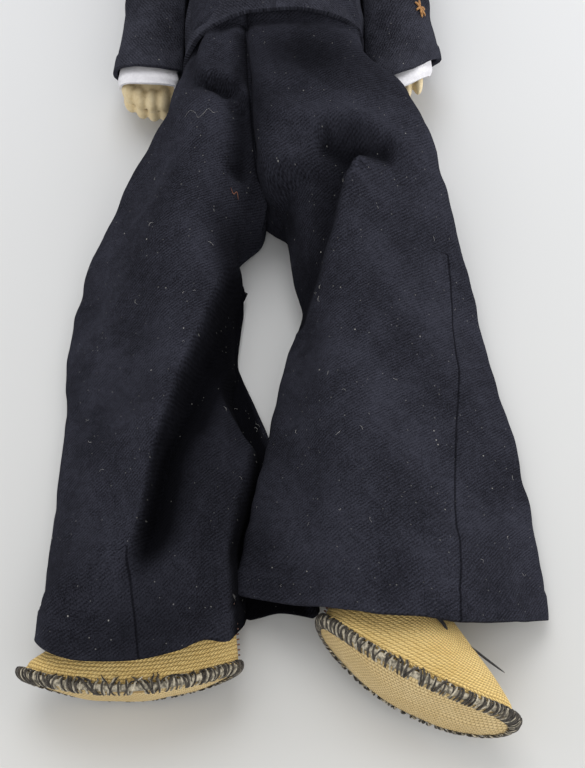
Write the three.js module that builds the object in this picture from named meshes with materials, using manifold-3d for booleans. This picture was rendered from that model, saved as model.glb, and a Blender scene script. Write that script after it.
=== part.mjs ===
// A stuffed cloth doll in bell-bottom trousers, a jumper and canvas shoes, lying on its back. Millimetres.
// X runs across the doll with its left side positive, Y from the feet up to the head, Z up from the table.
// The origin is on the back of the jumper, where it lies on the table.

import * as THREE from "three";
import { mergeVertices } from "three/addons/utils/BufferGeometryUtils.js";
import Module from "manifold-3d";

const wasm = await Module();
wasm.setup();

// Cloths and clearances
const WOOL = 1.4;
const LINEN = 0.8;
const CANVAS = 1.2;
const GAP = 0.3;
const FOOT_GAP = 0.6;
const JOINT_GAP = 0.4;

// Trunk
const BODY_DEPTH = 43;
const BODY_HALF_WIDTH = 26;
const JUMPER_HEM_Y = -32;
const HEM_SIDE_DROP = 3.6;
const SHOULDER_Y = 64;
const NECKLINE_Y = 85;
const NECK_RADIUS = 9;
const NECK_TOP_Y = 91;
const V_DEPTH = 33;
const V_HALF_WIDTH = 10.5;
const COLLAR_FRONT_WIDTH = 8;
const COLLAR_BACK_HALF_WIDTH = 18;
const COLLAR_BACK_LENGTH = 32;
const TRUNK_SQUARENESS = 2.7;

// Head
const CHIN_Y = 88;
const HEAD_HEIGHT = 57;
const HEAD_HALF_WIDTH = 23;
const HEAD_DEPTH = 42;
const HAIR_THICKNESS = 3;
const EAR_HEIGHT = 9;

// Hips and legs
const HIP_Y = -60;
const HIP_HEIGHT = 21;
const HIP_SWING = THREE.MathUtils.degToRad(80);
const TROUSER_LENGTH = 144;
const HALF_SEAM = 0.3;
const HEM_EASE = 1.2;

// Arms
const SHOULDER_HEIGHT = 21;
const SLEEVE_CAP_RADIUS = 14.5;
const SLEEVE_LENGTH = 95;
const SLEEVE_HALF_WIDTH = 11.8;
const ARMHOLE_RADIUS = 8.5;
const CUFF_SHOWS = 4.6;
const CUFF_TUCK = 12;
const WRIST_RADIUS = 6.4;
const HAND_LENGTH = 19;
const HAND_HALF_WIDTH = 7.4;
const HAND_DEPTH = 12.5;

// Shoes
const FOOT_LENGTH = 47.5;
const FOOT_WIDTH = 17.6;
const FOREFOOT_SPREAD = 0.1;
const SOLE_ROCKER = 4.2;
const SOLE_THICKNESS = 1.6;
const BINDING_RADIUS = 0.95;
const TOE_SLOPE = 1.1;
const ANKLE_RADIUS = 8;

// Places that several pieces share
const ARM_PLANE = BODY_HALF_WIDTH + 1;
const HIP_RADIUS = HIP_HEIGHT;

// How fine the surfaces are
const TRUNK_POINTS = 20;
const HEAD_POINTS = 18;
const TROUSER_POINTS = 24;
const LIMB_POINTS = 12;
const SLEEVE_POINTS = 16;
const SHOE_POINTS = 20;
const BAR_POINTS = 12;
const NECK_POINTS = 24;
const BINDING_STEPS = 28;
const BEAD_POINTS = 6;
const FINGER_POINTS = 8;

// Colours from the photograph
const NAVY = { color: 0x26272f, roughness: 0.95 };
const WHITE_LINEN = { color: 0xcfcdd0, roughness: 0.9 };
const CREAM_CLOTH = { color: 0xc6b48f, roughness: 0.92 };
const CANVAS_CLOTH = { color: 0xbda064, roughness: 0.9 };
const SOLE_CLOTH = { color: 0xc2ae83, roughness: 0.92 };
const BINDING_THREAD = { color: 0x4a443c, roughness: 0.9 };
const HAIR_WOOL = { color: 0x4b3220, roughness: 1 };

const doll = new THREE.Group();

// A smooth curve through stations of [place, value], level beyond its ends.
function through(stations) {
  const sorted = [...stations].sort((a, b) => a[0] - b[0]);
  const last = sorted.length - 1;
  const slope = (i) => {
    const before = sorted[Math.max(i - 1, 0)];
    const after = sorted[Math.min(i + 1, last)];
    return (after[1] - before[1]) / (after[0] - before[0]);
  };
  return (place) => {
    if (place <= sorted[0][0]) return sorted[0][1];
    if (place >= sorted[last][0]) return sorted[last][1];
    const i = sorted.findIndex((station) => station[0] > place) - 1;
    const span = sorted[i + 1][0] - sorted[i][0];
    const t = (place - sorted[i][0]) / span;
    const rest = 1 - t;
    return (
      sorted[i][1] * (1 + 2 * t) * rest * rest +
      slope(i) * span * t * rest * rest +
      sorted[i + 1][1] * (3 - 2 * t) * t * t -
      slope(i + 1) * span * t * t * rest
    );
  };
}

// Whole numbers from 0 up to a count.
const upTo = (count) => Array.from({ length: count }, (_, i) => i);

// Evenly spaced values from one end to the other, both included.
const steps = (from, to, count) => upTo(count).map((i) => from + ((to - from) * i) / (count - 1));

const centreOf = (ring) =>
  ring.reduce((sum, p) => sum.add(p), new THREE.Vector3()).divideScalar(ring.length);

// The surface through rings of as many points each. Its ends are closed by caps, or meet in a loop.
function skin(rings, ends = "caps") {
  const around = rings[0].length;
  const points = rings.flat();
  const faces = [];
  const bands = ends === "loop" ? rings.length : rings.length - 1;
  for (const i of upTo(bands)) {
    const next = (i + 1) % rings.length;
    for (const j of upTo(around)) {
      const k = (j + 1) % around;
      const corners = [i * around + j, i * around + k, next * around + k, next * around + j];
      faces.push(corners[0], corners[1], corners[2], corners[0], corners[2], corners[3]);
    }
  }
  if (ends === "caps") {
    const first = points.push(centreOf(rings[0])) - 1;
    const end = points.push(centreOf(rings.at(-1))) - 1;
    const start = (rings.length - 1) * around;
    for (const j of upTo(around)) {
      const k = (j + 1) % around;
      faces.push(first, k, j, end, start + j, start + k);
    }
  }
  return facingOut(points, faces);
}

// A closed surface with its faces turned outwards, by the sign of the volume that they enclose.
function facingOut(points, faces) {
  let volume = 0;
  for (let i = 0; i < faces.length; i += 3) {
    const [a, b, c] = [points[faces[i]], points[faces[i + 1]], points[faces[i + 2]]];
    volume += a.dot(b.clone().cross(c));
  }
  const ordered = volume < 0 ? faces.toReversed() : faces;
  return new THREE.BufferGeometry()
    .setAttribute("position", new THREE.Float32BufferAttribute(points.flatMap((p) => p.toArray()), 3))
    .setIndex(ordered);
}

// The same rings, moved along the surface's normals: outwards, or inwards by a negative distance.
function offset(rings, distance) {
  const last = rings.length - 1;
  const around = rings[0].length;
  const normals = rings.map((ring, i) =>
    ring.map((_, j) => {
      const along = rings[Math.min(i + 1, last)][j].clone().sub(rings[Math.max(i - 1, 0)][j]);
      const across = ring[(j + 1) % around].clone().sub(ring[(j + around - 1) % around]);
      return across.cross(along).normalize();
    }),
  );
  let outward = 0;
  rings.forEach((ring, i) => {
    const centre = centreOf(ring);
    ring.forEach((p, j) => (outward += normals[i][j].dot(p.clone().sub(centre))));
  });
  const step = distance * Math.sign(outward);
  return rings.map((ring, i) => ring.map((p, j) => p.clone().addScaledVector(normals[i][j], step)));
}

// A ring moved towards the feet.
const lowered = (ring, distance) => ring.map((p) => p.clone().setY(p.y - distance));

// Cloth of one thickness under a surface, open at both ends.
const clothUnder = (rings, thickness) => skin([...rings, ...offset(rings, -thickness).reverse()], "loop");

// A closed geometry as a solid that can be joined and cut, and back.
function solid(geometry) {
  const bare = geometry.clone();
  bare.deleteAttribute("normal");
  bare.deleteAttribute("uv");
  const merged = mergeVertices(bare, 1e-4);
  return new wasm.Manifold(
    new wasm.Mesh({
      numProp: 3,
      vertProperties: new Float32Array(merged.attributes.position.array),
      triVerts: new Uint32Array(merged.index.array),
    }),
  );
}

function geometryOf(body) {
  const { vertProperties, triVerts } = body.getMesh();
  return new THREE.BufferGeometry()
    .setAttribute("position", new THREE.BufferAttribute(vertProperties, 3))
    .setIndex(new THREE.BufferAttribute(triVerts, 1));
}

function add(name, shape, finish) {
  const geometry = shape.isBufferGeometry ? shape : geometryOf(shape);
  const mesh = new THREE.Mesh(geometry, new THREE.MeshStandardMaterial({ metalness: 0, ...finish }));
  mesh.name = name;
  doll.add(mesh);
}

// A flat outline in the plane of two axes, given depth along the third, from one place to another.
const SIDE_VIEW = new THREE.Matrix4().makeBasis(
  new THREE.Vector3(0, 1, 0),
  new THREE.Vector3(0, 0, 1),
  new THREE.Vector3(1, 0, 0),
);
const FRONT_VIEW = new THREE.Matrix4();
function prism(outline, view, from, to) {
  const depth = to - from;
  const geometry = new THREE.ExtrudeGeometry(outline, { depth, bevelEnabled: false, curveSegments: 10 });
  return solid(geometry.translate(0, 0, from).applyMatrix4(view));
}

// A rounded outline across the Y axis, with a flat facet at its lowest place.
function roundedRing({ x = 0, halfWidth, low, high, y, squareness = 2.3, points }) {
  const power = (value) => Math.sign(value) * Math.abs(value) ** (2 / squareness);
  return upTo(points).map((i) => {
    const angle = (2 * Math.PI * (i + 0.5)) / points;
    const z = (low + high) / 2 + ((high - low) / 2) * power(Math.sin(angle));
    return new THREE.Vector3(x + halfWidth * power(Math.cos(angle)), y, z);
  });
}

function ellipsoid(centre, radii, turn = new THREE.Euler(), segments = 14) {
  const ball = new THREE.SphereGeometry(1, segments, Math.round(segments * 0.6));
  const place = new THREE.Matrix4().compose(
    new THREE.Vector3(...centre),
    new THREE.Quaternion().setFromEuler(turn),
    new THREE.Vector3(...radii),
  );
  return solid(ball.applyMatrix4(place));
}

// Trunk: every layer is the jumper's outer surface, moved inwards.
const WAIST_Y = (JUMPER_HEM_Y + SHOULDER_Y) / 2 - 12;
const COLLAR_RISE = WOOL + JOINT_GAP;
const trunkHalfWidth = through([
  [HIP_Y, BODY_HALF_WIDTH - 0.6],
  [JUMPER_HEM_Y, BODY_HALF_WIDTH + 0.6],
  [WAIST_Y, BODY_HALF_WIDTH - 1],
  [SHOULDER_Y - 14, BODY_HALF_WIDTH + 0.8],
  [SHOULDER_Y, BODY_HALF_WIDTH + 1.2],
  [SHOULDER_Y + 8, BODY_HALF_WIDTH - 1],
  [NECKLINE_Y - 5, NECK_RADIUS + 8.5],
  [NECKLINE_Y, NECK_RADIUS + 4.5],
]);
const trunkFront = through([
  [JUMPER_HEM_Y, BODY_DEPTH],
  [WAIST_Y, BODY_DEPTH - 1.5],
  [SHOULDER_Y - 14, BODY_DEPTH],
  [SHOULDER_Y + 6, BODY_DEPTH - 4],
  [NECKLINE_Y, SHOULDER_HEIGHT + NECK_RADIUS + 5],
]);
const trunkBack = through([
  [NECKLINE_Y - COLLAR_BACK_LENGTH - 16, 0],
  [NECKLINE_Y - COLLAR_BACK_LENGTH - 6, COLLAR_RISE],
  [SHOULDER_Y, COLLAR_RISE],
  [SHOULDER_Y + 6, COLLAR_RISE + 0.2],
  [NECKLINE_Y, SHOULDER_HEIGHT - NECK_RADIUS - 5],
]);
const FLAT_DEPTH = 1;

function trunkRing(y, inset) {
  const ring = roundedRing({
    halfWidth: trunkHalfWidth(y) - inset,
    low: trunkBack(y) + inset - FLAT_DEPTH,
    high: trunkFront(y) - inset,
    y,
    squareness: TRUNK_SQUARENESS,
    points: TRUNK_POINTS,
  });
  ring.forEach((p) => (p.z = Math.max(p.z, trunkBack(y) + inset)));
  return ring;
}

// The places up the trunk that all its layers share, so that no layer crosses another.
const HEM = 2;
const WAIST = 4;
const TRUNK_STATIONS = [
  ...steps(HIP_Y + 4, JUMPER_HEM_Y, HEM + 1),
  ...steps(JUMPER_HEM_Y, SHOULDER_Y, 8).slice(1),
  ...steps(SHOULDER_Y, NECKLINE_Y, 6).slice(1),
];
const NECKLINE = TRUNK_STATIONS.length - 1;
const trunkRings = (from, to, inset) => TRUNK_STATIONS.slice(from, to + 1).map((y) => trunkRing(y, inset));

// A layer of the trunk's clothing, between two depths under the jumper's surface.
const trunkLayer = (from, to, outside, inside) =>
  skin([...trunkRings(from, to, outside), ...trunkRings(from, to, inside).reverse()], "loop");

// The space that a leg and its trouser cloth take at rest, and while it swings up to the front.
function hipOutline(radius) {
  const far = 2 * TROUSER_LENGTH;
  const outline = new THREE.Shape();
  outline.moveTo(HIP_Y - far, HIP_HEIGHT - radius);
  outline.lineTo(HIP_Y, HIP_HEIGHT - radius);
  outline.absarc(HIP_Y, HIP_HEIGHT, radius, -Math.PI / 2, Math.PI / 2);
  outline.lineTo(HIP_Y - far, HIP_HEIGHT + radius);
  return outline;
}
function swungOutline(radius) {
  const far = 2 * TROUSER_LENGTH;
  const last = Math.PI / 2 - HIP_SWING;
  const outline = new THREE.Shape();
  outline.moveTo(HIP_Y - far, HIP_HEIGHT - radius);
  outline.lineTo(HIP_Y, HIP_HEIGHT - radius);
  outline.absarc(HIP_Y, HIP_HEIGHT, radius, -Math.PI / 2, last);
  outline.lineTo(
    HIP_Y + radius * Math.cos(last) - far * Math.sin(last),
    HIP_HEIGHT + radius * Math.sin(last) + far * Math.cos(last),
  );
  outline.lineTo(HIP_Y - far, HIP_HEIGHT + far);
  return outline;
}
const WIDE = 6 * BODY_HALF_WIDTH;
const legsRoom = prism(swungOutline(HIP_RADIUS + JOINT_GAP), SIDE_VIEW, -WIDE, WIDE);

// A round bar across the doll at the shoulders, between two distances from the centre plane.
function shoulderBar(side, from, to, radius) {
  const bar = new THREE.CylinderGeometry(radius, radius, to - from, BAR_POINTS);
  bar.rotateZ(Math.PI / 2).translate((side * (from + to)) / 2, SHOULDER_Y, SHOULDER_HEIGHT);
  return solid(bar);
}

// A block that keeps only what lies within a distance of the centre plane.
function slab(halfWidth) {
  const long = 4 * TROUSER_LENGTH;
  return solid(new THREE.BoxGeometry(2 * halfWidth, long, long));
}

const STUFFING_INSET = WOOL + WOOL + 2 * GAP;
const SHIRT_OUTSIDE = STUFFING_INSET - GAP - LINEN;
const BODY_SIDE = ARM_PLANE - JOINT_GAP / 2;
const BAR_DEPTH = 6;

function makeTrunk() {
  const stuffingTop = TRUNK_STATIONS[NECKLINE - 1];
  let stuffing = solid(skin(trunkRings(0, NECKLINE - 1, STUFFING_INSET)));
  for (const side of [-1, 1]) {
    stuffing = stuffing.add(shoulderBar(side, BODY_SIDE - BAR_DEPTH, BODY_SIDE, ARMHOLE_RADIUS - GAP));
  }
  add("torso_stuffing", stuffing.subtract(legsRoom), CREAM_CLOTH);

  const seat = solid(trunkLayer(0, WAIST, WOOL + GAP, STUFFING_INSET - GAP));
  add("trouser_seat", seat.subtract(legsRoom), NAVY);

  const armholes = [-1, 1].map((side) =>
    shoulderBar(side, BODY_SIDE - 1.5 * BAR_DEPTH, BODY_SIDE + BAR_DEPTH / 2, ARMHOLE_RADIUS),
  );
  let shirt = solid(trunkLayer(WAIST + 1, NECKLINE, SHIRT_OUTSIDE, SHIRT_OUTSIDE + LINEN));
  for (const hole of armholes) shirt = shirt.subtract(hole);
  add("shirt_front", shirt, WHITE_LINEN);

  const vee = new THREE.Shape();
  vee.moveTo(0, NECKLINE_Y - V_DEPTH);
  vee.lineTo(V_HALF_WIDTH, NECKLINE_Y + 4);
  vee.lineTo(-V_HALF_WIDTH, NECKLINE_Y + 4);
  const neckOpening = prism(vee, FRONT_VIEW, SHOULDER_HEIGHT, 2 * BODY_DEPTH);

  const [outside, inside] = [0, WOOL].map((inset) => trunkRings(HEM, NECKLINE, inset));
  for (const p of [...outside[0], ...inside[0]]) p.y -= HEM_SIDE_DROP * (p.x / BODY_HALF_WIDTH) ** 2;
  let jumper = solid(skin([...outside, ...inside.reverse()], "loop")).intersect(slab(BODY_SIDE));
  for (const hole of armholes) jumper = jumper.subtract(hole);
  add("jumper_body", jumper.subtract(neckOpening), NAVY);

  add("jumper_collar", collar(neckOpening), NAVY);

  const neckFrom = stuffingTop + GAP;
  const neck = new THREE.CylinderGeometry(NECK_RADIUS, NECK_RADIUS, NECK_TOP_Y - neckFrom, NECK_POINTS);
  add("neck", neck.translate(0, (NECK_TOP_Y + neckFrom) / 2, SHOULDER_HEIGHT), CREAM_CLOTH);
}

// A wide collar on the jumper: two strips beside the neck opening, and a square flap down the back.
function collar(neckOpening) {
  const cloth = solid(trunkLayer(WAIST + 1, NECKLINE, -GAP - WOOL, -GAP));
  const top = NECKLINE_Y + 10;
  const front = new THREE.Shape();
  front.moveTo(0, NECKLINE_Y - V_DEPTH - 7);
  front.lineTo(V_HALF_WIDTH + COLLAR_FRONT_WIDTH - 3, NECKLINE_Y - 12);
  front.lineTo(V_HALF_WIDTH + COLLAR_FRONT_WIDTH, top);
  front.lineTo(-V_HALF_WIDTH - COLLAR_FRONT_WIDTH, top);
  front.lineTo(-V_HALF_WIDTH - COLLAR_FRONT_WIDTH + 3, NECKLINE_Y - 12);
  const back = new THREE.Shape();
  back.moveTo(-COLLAR_BACK_HALF_WIDTH, NECKLINE_Y - COLLAR_BACK_LENGTH);
  back.lineTo(COLLAR_BACK_HALF_WIDTH, NECKLINE_Y - COLLAR_BACK_LENGTH);
  back.lineTo(COLLAR_BACK_HALF_WIDTH, top);
  back.lineTo(-COLLAR_BACK_HALF_WIDTH, top);
  const kept = prism(front, FRONT_VIEW, SHOULDER_HEIGHT, 2 * BODY_DEPTH).add(
    prism(back, FRONT_VIEW, -BODY_DEPTH, SHOULDER_HEIGHT),
  );
  return cloth.intersect(kept).subtract(neckOpening);
}

// Head
const CROWN_Y = CHIN_Y + HEAD_HEIGHT;
const HEAD_BACK = HAIR_THICKNESS + GAP + 0.4;
const headWidth = through([
  [0, 0.36],
  [0.06, 0.6],
  [0.2, 0.86],
  [0.42, 0.99],
  [0.62, 1],
  [0.8, 0.88],
  [0.92, 0.62],
  [1, 0.2],
]);
const headFace = through([
  [0, 0.8],
  [0.08, 0.93],
  [0.25, 0.97],
  [0.6, 1],
  [0.8, 0.95],
  [0.92, 0.82],
  [1, 0.6],
]);
const headNape = through([
  [0, 0.34],
  [0.08, 0.2],
  [0.25, 0.08],
  [0.55, 0],
  [0.8, 0.05],
  [0.92, 0.18],
  [1, 0.38],
]);

const NOSE_RADII = [2.6, 3.4, 2.6];
const NOSE_SUNK = 0.6;
const EAR_RADII = [2, EAR_HEIGHT / 2, 3.4];
const EAR_ROOM = [5, EAR_HEIGHT / 2 + 1, 4.6];
const EAR_PROUD = 0.6;

// The hair ends along this outline, in shares of the head's height and depth. Beyond it is the face.
const HAIRLINE = [
  [-0.35, -0.6], [0.16, -0.6], [0.21, 0.45], [0.55, 0.62], [0.82, 0.85], [0.84, 3], [-0.35, 3],
];

function headRing(up) {
  return roundedRing({
    halfWidth: HEAD_HALF_WIDTH * headWidth(up),
    low: HEAD_BACK + HEAD_DEPTH * headNape(up),
    high: HEAD_BACK + HEAD_DEPTH * headFace(up),
    y: CHIN_Y + HEAD_HEIGHT * up,
    points: HEAD_POINTS,
  });
}

function makeHead() {
  const rings = [0, 0.04, 0.12, 0.24, 0.4, 0.56, 0.7, 0.82, 0.91, 0.97, 1].map(headRing);
  const neckSocket = new THREE.CylinderGeometry(
    NECK_RADIUS + GAP,
    NECK_RADIUS + GAP,
    2 * (NECK_TOP_Y - CHIN_Y),
    NECK_POINTS,
  );
  neckSocket.translate(0, CHIN_Y + GAP, SHOULDER_HEIGHT);
  const noseY = CHIN_Y + 0.4 * HEAD_HEIGHT;
  const nose = ellipsoid([0, noseY, HEAD_BACK + HEAD_DEPTH - NOSE_SUNK], NOSE_RADII);
  const skull = solid(skin(rings));
  add("head", skull.add(nose).subtract(solid(neckSocket)), CREAM_CLOTH);

  const earY = CHIN_Y + 0.42 * HEAD_HEIGHT;
  const earZ = HEAD_BACK + 0.5 * HEAD_DEPTH;
  const wideSkull = solid(skin(offset(rings, GAP)));
  const earHole = (side) => ellipsoid([side * HEAD_HALF_WIDTH, earY, earZ], EAR_ROOM);
  for (const [name, side] of [["ear_right", -1], ["ear_left", 1]]) {
    const ear = ellipsoid([side * (HEAD_HALF_WIDTH + EAR_PROUD), earY, earZ], EAR_RADII);
    add(name, ear.subtract(wideSkull), CREAM_CLOTH);
  }

  // The hair is a cap of wool over the back and the crown, cut back from the face, the ears and the nape.
  const face = new THREE.Shape(
    HAIRLINE.map(([up, out]) => new THREE.Vector2(CHIN_Y + up * HEAD_HEIGHT, HEAD_BACK + out * HEAD_DEPTH)),
  );
  let hair = solid(skin(offset(rings, HAIR_THICKNESS + GAP))).subtract(wideSkull);
  hair = hair.subtract(prism(face, SIDE_VIEW, -WIDE, WIDE));
  for (const side of [-1, 1]) hair = hair.subtract(earHole(side));
  add("hair", hair, HAIR_WOOL);
}

// The outline round several circles, as cloth drawn round them lies, with its points evenly spaced.
function outlineRound(circles, points) {
  const fine = 96;
  const hull = upTo(fine).map((i) => {
    const angle = (2 * Math.PI * i) / fine;
    const [dx, dz] = [-Math.cos(angle), Math.sin(angle)];
    const reach = (c) => c.x * dx + c.z * dz + c.r;
    const outer = circles.reduce((best, c) => (reach(c) > reach(best) ? c : best));
    return new THREE.Vector2(outer.x + outer.r * dx, outer.z + outer.r * dz);
  });
  const lengths = hull.map((p, i) => p.distanceTo(hull[(i + 1) % fine]));
  const total = lengths.reduce((sum, length) => sum + length, 0);
  const outline = [];
  let walked = 0;
  hull.forEach((p, i) => {
    while (outline.length < points && (total * outline.length) / points < walked + lengths[i]) {
      const share = ((total * outline.length) / points - walked) / lengths[i];
      outline.push(p.clone().lerp(hull[(i + 1) % fine], share));
    }
    walked += lengths[i];
  });
  return outline;
}

// A fold of the cloth: a low ridge, or with a negative height a valley, along a curve across the leg.
function fold(height, width, ...corners) {
  const curve = new THREE.QuadraticBezierCurve(...corners.map(([x, y]) => new THREE.Vector2(x, y)));
  const places = curve.getPoints(14);
  return (x, y) => {
    const away = Math.min(...places.map((p) => Math.hypot(p.x - x, p.y - y)));
    return height * Math.exp(-((away / width) ** 2));
  };
}

// The legs. Stations run from the hip, 0, down to the trouser hem, 1, with distances from the centre plane.
const LEGS = {
  right: {
    side: -1,
    limbX: through([
      [-0.15, 13.6], [0, 15.6], [0.12, 16.8], [0.16, 20], [0.23, 23.6], [0.53, 23.3], [0.8, 20],
      [1, 18],
    ]),
    limbRadius: through([
      [-0.15, 10.4], [0, 13.2], [0.16, 12.9], [0.38, 11.6], [0.6, 10.6], [0.85, 8.6],
      [0.95, ANKLE_RADIUS],
    ]),
    limbLow: through([[0, WOOL + GAP], [0.7, WOOL + GAP], [0.95, 9]]),
    limbTop: through([
      [-0.15, 38], [0, 40.3], [0.07, 38.5], [0.16, 33], [0.3, 28.5], [0.5, 25], [0.95, 25],
    ]),
    inner: through([
      [0.12, HALF_SEAM], [0.16, 5.5], [0.23, 9.7], [0.38, 9.4], [0.53, 10.6], [0.6, 4.4], [0.7, 4.2],
      [0.82, 7.2], [1, 10.5],
    ]),
    outer: through([
      [-0.15, 24], [-0.074, 26.7], [0.068, 35.5], [0.243, 48.6], [0.406, 55.2], [0.632, 55.4],
      [0.819, 56.5], [1, 57.3],
    ]),
    innerHeight: through([[0, 41.6], [0.12, 36], [0.17, 22], [0.3, 15], [0.6, 9], [1, 7]]),
    outerHeight: through([[-0.15, 34], [0, 35], [0.1, 27], [0.25, 13], [0.5, 8], [1, 6.4]]),
    footX: 41,
    hemDroop: 9,
    hemY: -203,
    folds: [
      fold(-4.5, 6.5, [15, -112], [27, -138], [40, -178]),
      fold(-2.2, 6, [52, -120], [46, -150], [48, -185]),
      fold(2, 5, [10, -54], [19, -50], [23, -60]),
    ],
    ankle: new THREE.Vector3(-18, -194, 17),
    heel: new THREE.Vector3(-6.2, -211.4, 13.6),
    toe: new THREE.Vector3(-59.2, -215.2, 13.6),
    footUp: new THREE.Vector3(0, 0.883, 0.469),
  },
  left: {
    side: 1,
    limbX: through([
      [-0.15, 14.6], [0, 17], [0.13, 18.6], [0.32, 22.4], [0.46, 21], [0.6, 20], [0.8, 21.5], [1, 25.5],
    ]),
    limbRadius: through([
      [-0.15, 11], [0, 14], [0.16, 13.4], [0.38, 11.8], [0.6, 10.6], [0.85, 8.6], [0.95, ANKLE_RADIUS],
    ]),
    limbLow: through([[0, WOOL + GAP], [0.7, WOOL + GAP], [0.95, 7]]),
    limbTop: through([[-0.15, 38], [0, 40.3], [0.07, 39], [0.16, 34], [0.3, 29], [0.5, 25.5], [0.95, 23]]),
    inner: through([
      [0.12, HALF_SEAM], [0.16, 3.2], [0.32, 8.4], [0.465, 4.8], [0.604, -0.6], [0.694, -2.5],
      [0.944, -8.2], [1, -9],
    ]),
    outer: through([
      [-0.15, 34], [-0.135, 36], [-0.05, 42.4], [0.107, 49.3], [0.278, 52.8], [0.45, 58], [0.63, 63],
      [0.86, 67], [1, 69.2],
    ]),
    innerHeight: through([[0, 41.6], [0.12, 36], [0.17, 24], [0.3, 16], [0.6, 8], [1, 6.4]]),
    outerHeight: through([[-0.15, 33], [0, 34], [0.12, 26], [0.3, 13], [0.5, 8], [1, 6.4]]),
    footX: 40,
    hemDroop: 6,
    hemY: -198,
    folds: [
      fold(2.6, 5, [8, -68], [24, -62], [36, -82]),
      fold(-3.4, 4.5, [22, -84], [15, -94], [9, -118]),
      fold(-2.4, 8, [56, -128], [54, -158], [60, -190]),
    ],
    ankle: new THREE.Vector3(26, -191, 15),
    heel: new THREE.Vector3(10.9, -204.4, 16.4),
    toe: new THREE.Vector3(59.2, -223, 11.2),
    footUp: new THREE.Vector3(0.36, 0.93, 0.02),
  },
};
const TROUSER_EASE = through([[0.5, 0], [0.8, 2.4], [1, 3.6]]);
const SIDE_RADIUS = through([[-0.15, 9], [0.1, 7.5], [0.25, 4.4], [0.5, 3.2]]);
const INNER_RADIUS = through([[0.1, 5], [0.2, 4], [0.5, 3.2]]);
const footRoom = (leg) => (leg.ankle.z + ANKLE_RADIUS + FOOT_GAP + CANVAS + WOOL + HEM_EASE) / 2;
const placeOf = (along) => HIP_Y - along * TROUSER_LENGTH;

// The stuffed limb's section: a circle drawn out in height, and grown by a distance.
function limbCircles(leg, along, grow) {
  const r = leg.limbRadius(along);
  const x = leg.limbX(along);
  const low = leg.limbLow(along) + r;
  const high = Math.max(leg.limbTop(along) - r, low);
  return [{ x, z: low, r: r + grow }, { x, z: high, r: r + grow }];
}

// The trouser cloth's section: drawn round the limb, the two side edges and, near the hem, the foot.
function trouserCircles(leg, along) {
  const inside = INNER_RADIUS(along);
  const outside = SIDE_RADIUS(along);
  const ease = GAP + WOOL + TROUSER_EASE(along);
  const x = { inner: leg.inner(along) + inside, outer: leg.outer(along) - outside };
  const nearFoot = THREE.MathUtils.smoothstep(along, 0.62, 0.96);
  const foot = THREE.MathUtils.lerp(leg.limbRadius(along), footRoom(leg), nearFoot);
  return [
    ...limbCircles(leg, along, ease).map((circle) => ({ ...circle, z: Math.max(circle.z, circle.r) })),
    { x: x.inner, z: inside, r: inside },
    { x: x.inner, z: Math.max(leg.innerHeight(along) - inside, inside), r: inside },
    { x: x.outer, z: outside, r: outside },
    { x: x.outer, z: Math.max(leg.outerHeight(along) - outside, outside), r: outside },
    { x: THREE.MathUtils.lerp(leg.limbX(along), leg.footX, nearFoot), z: foot, r: foot },
  ];
}

function trouserRing(leg, along) {
  const low = 2 * WOOL;
  return outlineRound(trouserCircles(leg, along), TROUSER_POINTS).map(({ x, y: z }) => {
    const place = placeOf(along);
    const folded = leg.folds.reduce((sum, each) => sum + each(x, place), 0);
    const onTop = THREE.MathUtils.smoothstep(z, low, 4 * low);
    const nearHem = THREE.MathUtils.smoothstep(along, 0.6, 1);
    const hemShift = leg.hemY - placeOf(1) - (leg.hemDroop * z) / (2 * footRoom(leg));
    return new THREE.Vector3(leg.side * x, place + nearHem * hemShift, z + folded * onTop);
  });
}

function makeLeg(name, leg) {
  const top = -(HIP_RADIUS + 2) / TROUSER_LENGTH;
  const stations = [top, top / 2, ...steps(0, 1, 13)];
  const outside = stations.map((along) => trouserRing(leg, along));
  const inside = offset(outside, -WOOL);
  const beyondHem = lowered(inside.at(-1), 2 * footRoom(leg));
  const inboardLimit = leg.side < 0 ? 0 : WIDE;
  const roomOutside = prism(hipOutline(HIP_RADIUS), SIDE_VIEW, -WIDE, inboardLimit);
  const roomInside = prism(hipOutline(HIP_RADIUS - WOOL), SIDE_VIEW, -WIDE, WIDE);
  const cloth = solid(skin(outside)).intersect(roomOutside);
  const hollow = solid(skin([...inside, beyondHem])).intersect(roomInside);
  add(`trouser_leg_${name}`, cloth.subtract(hollow), NAVY);

  const ankleAt = (HIP_Y - leg.ankle.y) / TROUSER_LENGTH;
  const limb = [top, top / 2, ...steps(0, ankleAt, 7)].map((along) =>
    outlineRound(limbCircles(leg, along, 0), LIMB_POINTS).map(
      ({ x, y: z }) => new THREE.Vector3(leg.side * x, placeOf(along) + (along === ankleAt ? GAP : 0), z),
    ),
  );
  const roomLimb = prism(hipOutline(HIP_RADIUS - WOOL - GAP), SIDE_VIEW, -WIDE, WIDE);
  const insideCloth = solid(skin(offset(outside, -WOOL - GAP)));
  add(`leg_${name}`, solid(skin(limb)).intersect(roomLimb).intersect(insideCloth), CREAM_CLOTH);
  makeShoe(name, leg);
}

// A shoe, from its sole's outline in its own frame: X to the toe, Y across, Z up to the ankle.
function soleOutline(angle, grow, scale = 1) {
  const x = scale * (FOOT_LENGTH / 2 + grow) * Math.cos(angle);
  const spread = 1 + FOREFOOT_SPREAD * Math.cos(angle);
  const y = scale * (FOOT_WIDTH / 2 + grow) * Math.sin(angle) * spread;
  const rise = -SOLE_ROCKER * (1 - ((2 * x) / FOOT_LENGTH) ** 2);
  return new THREE.Vector3(x, y, rise);
}

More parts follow.
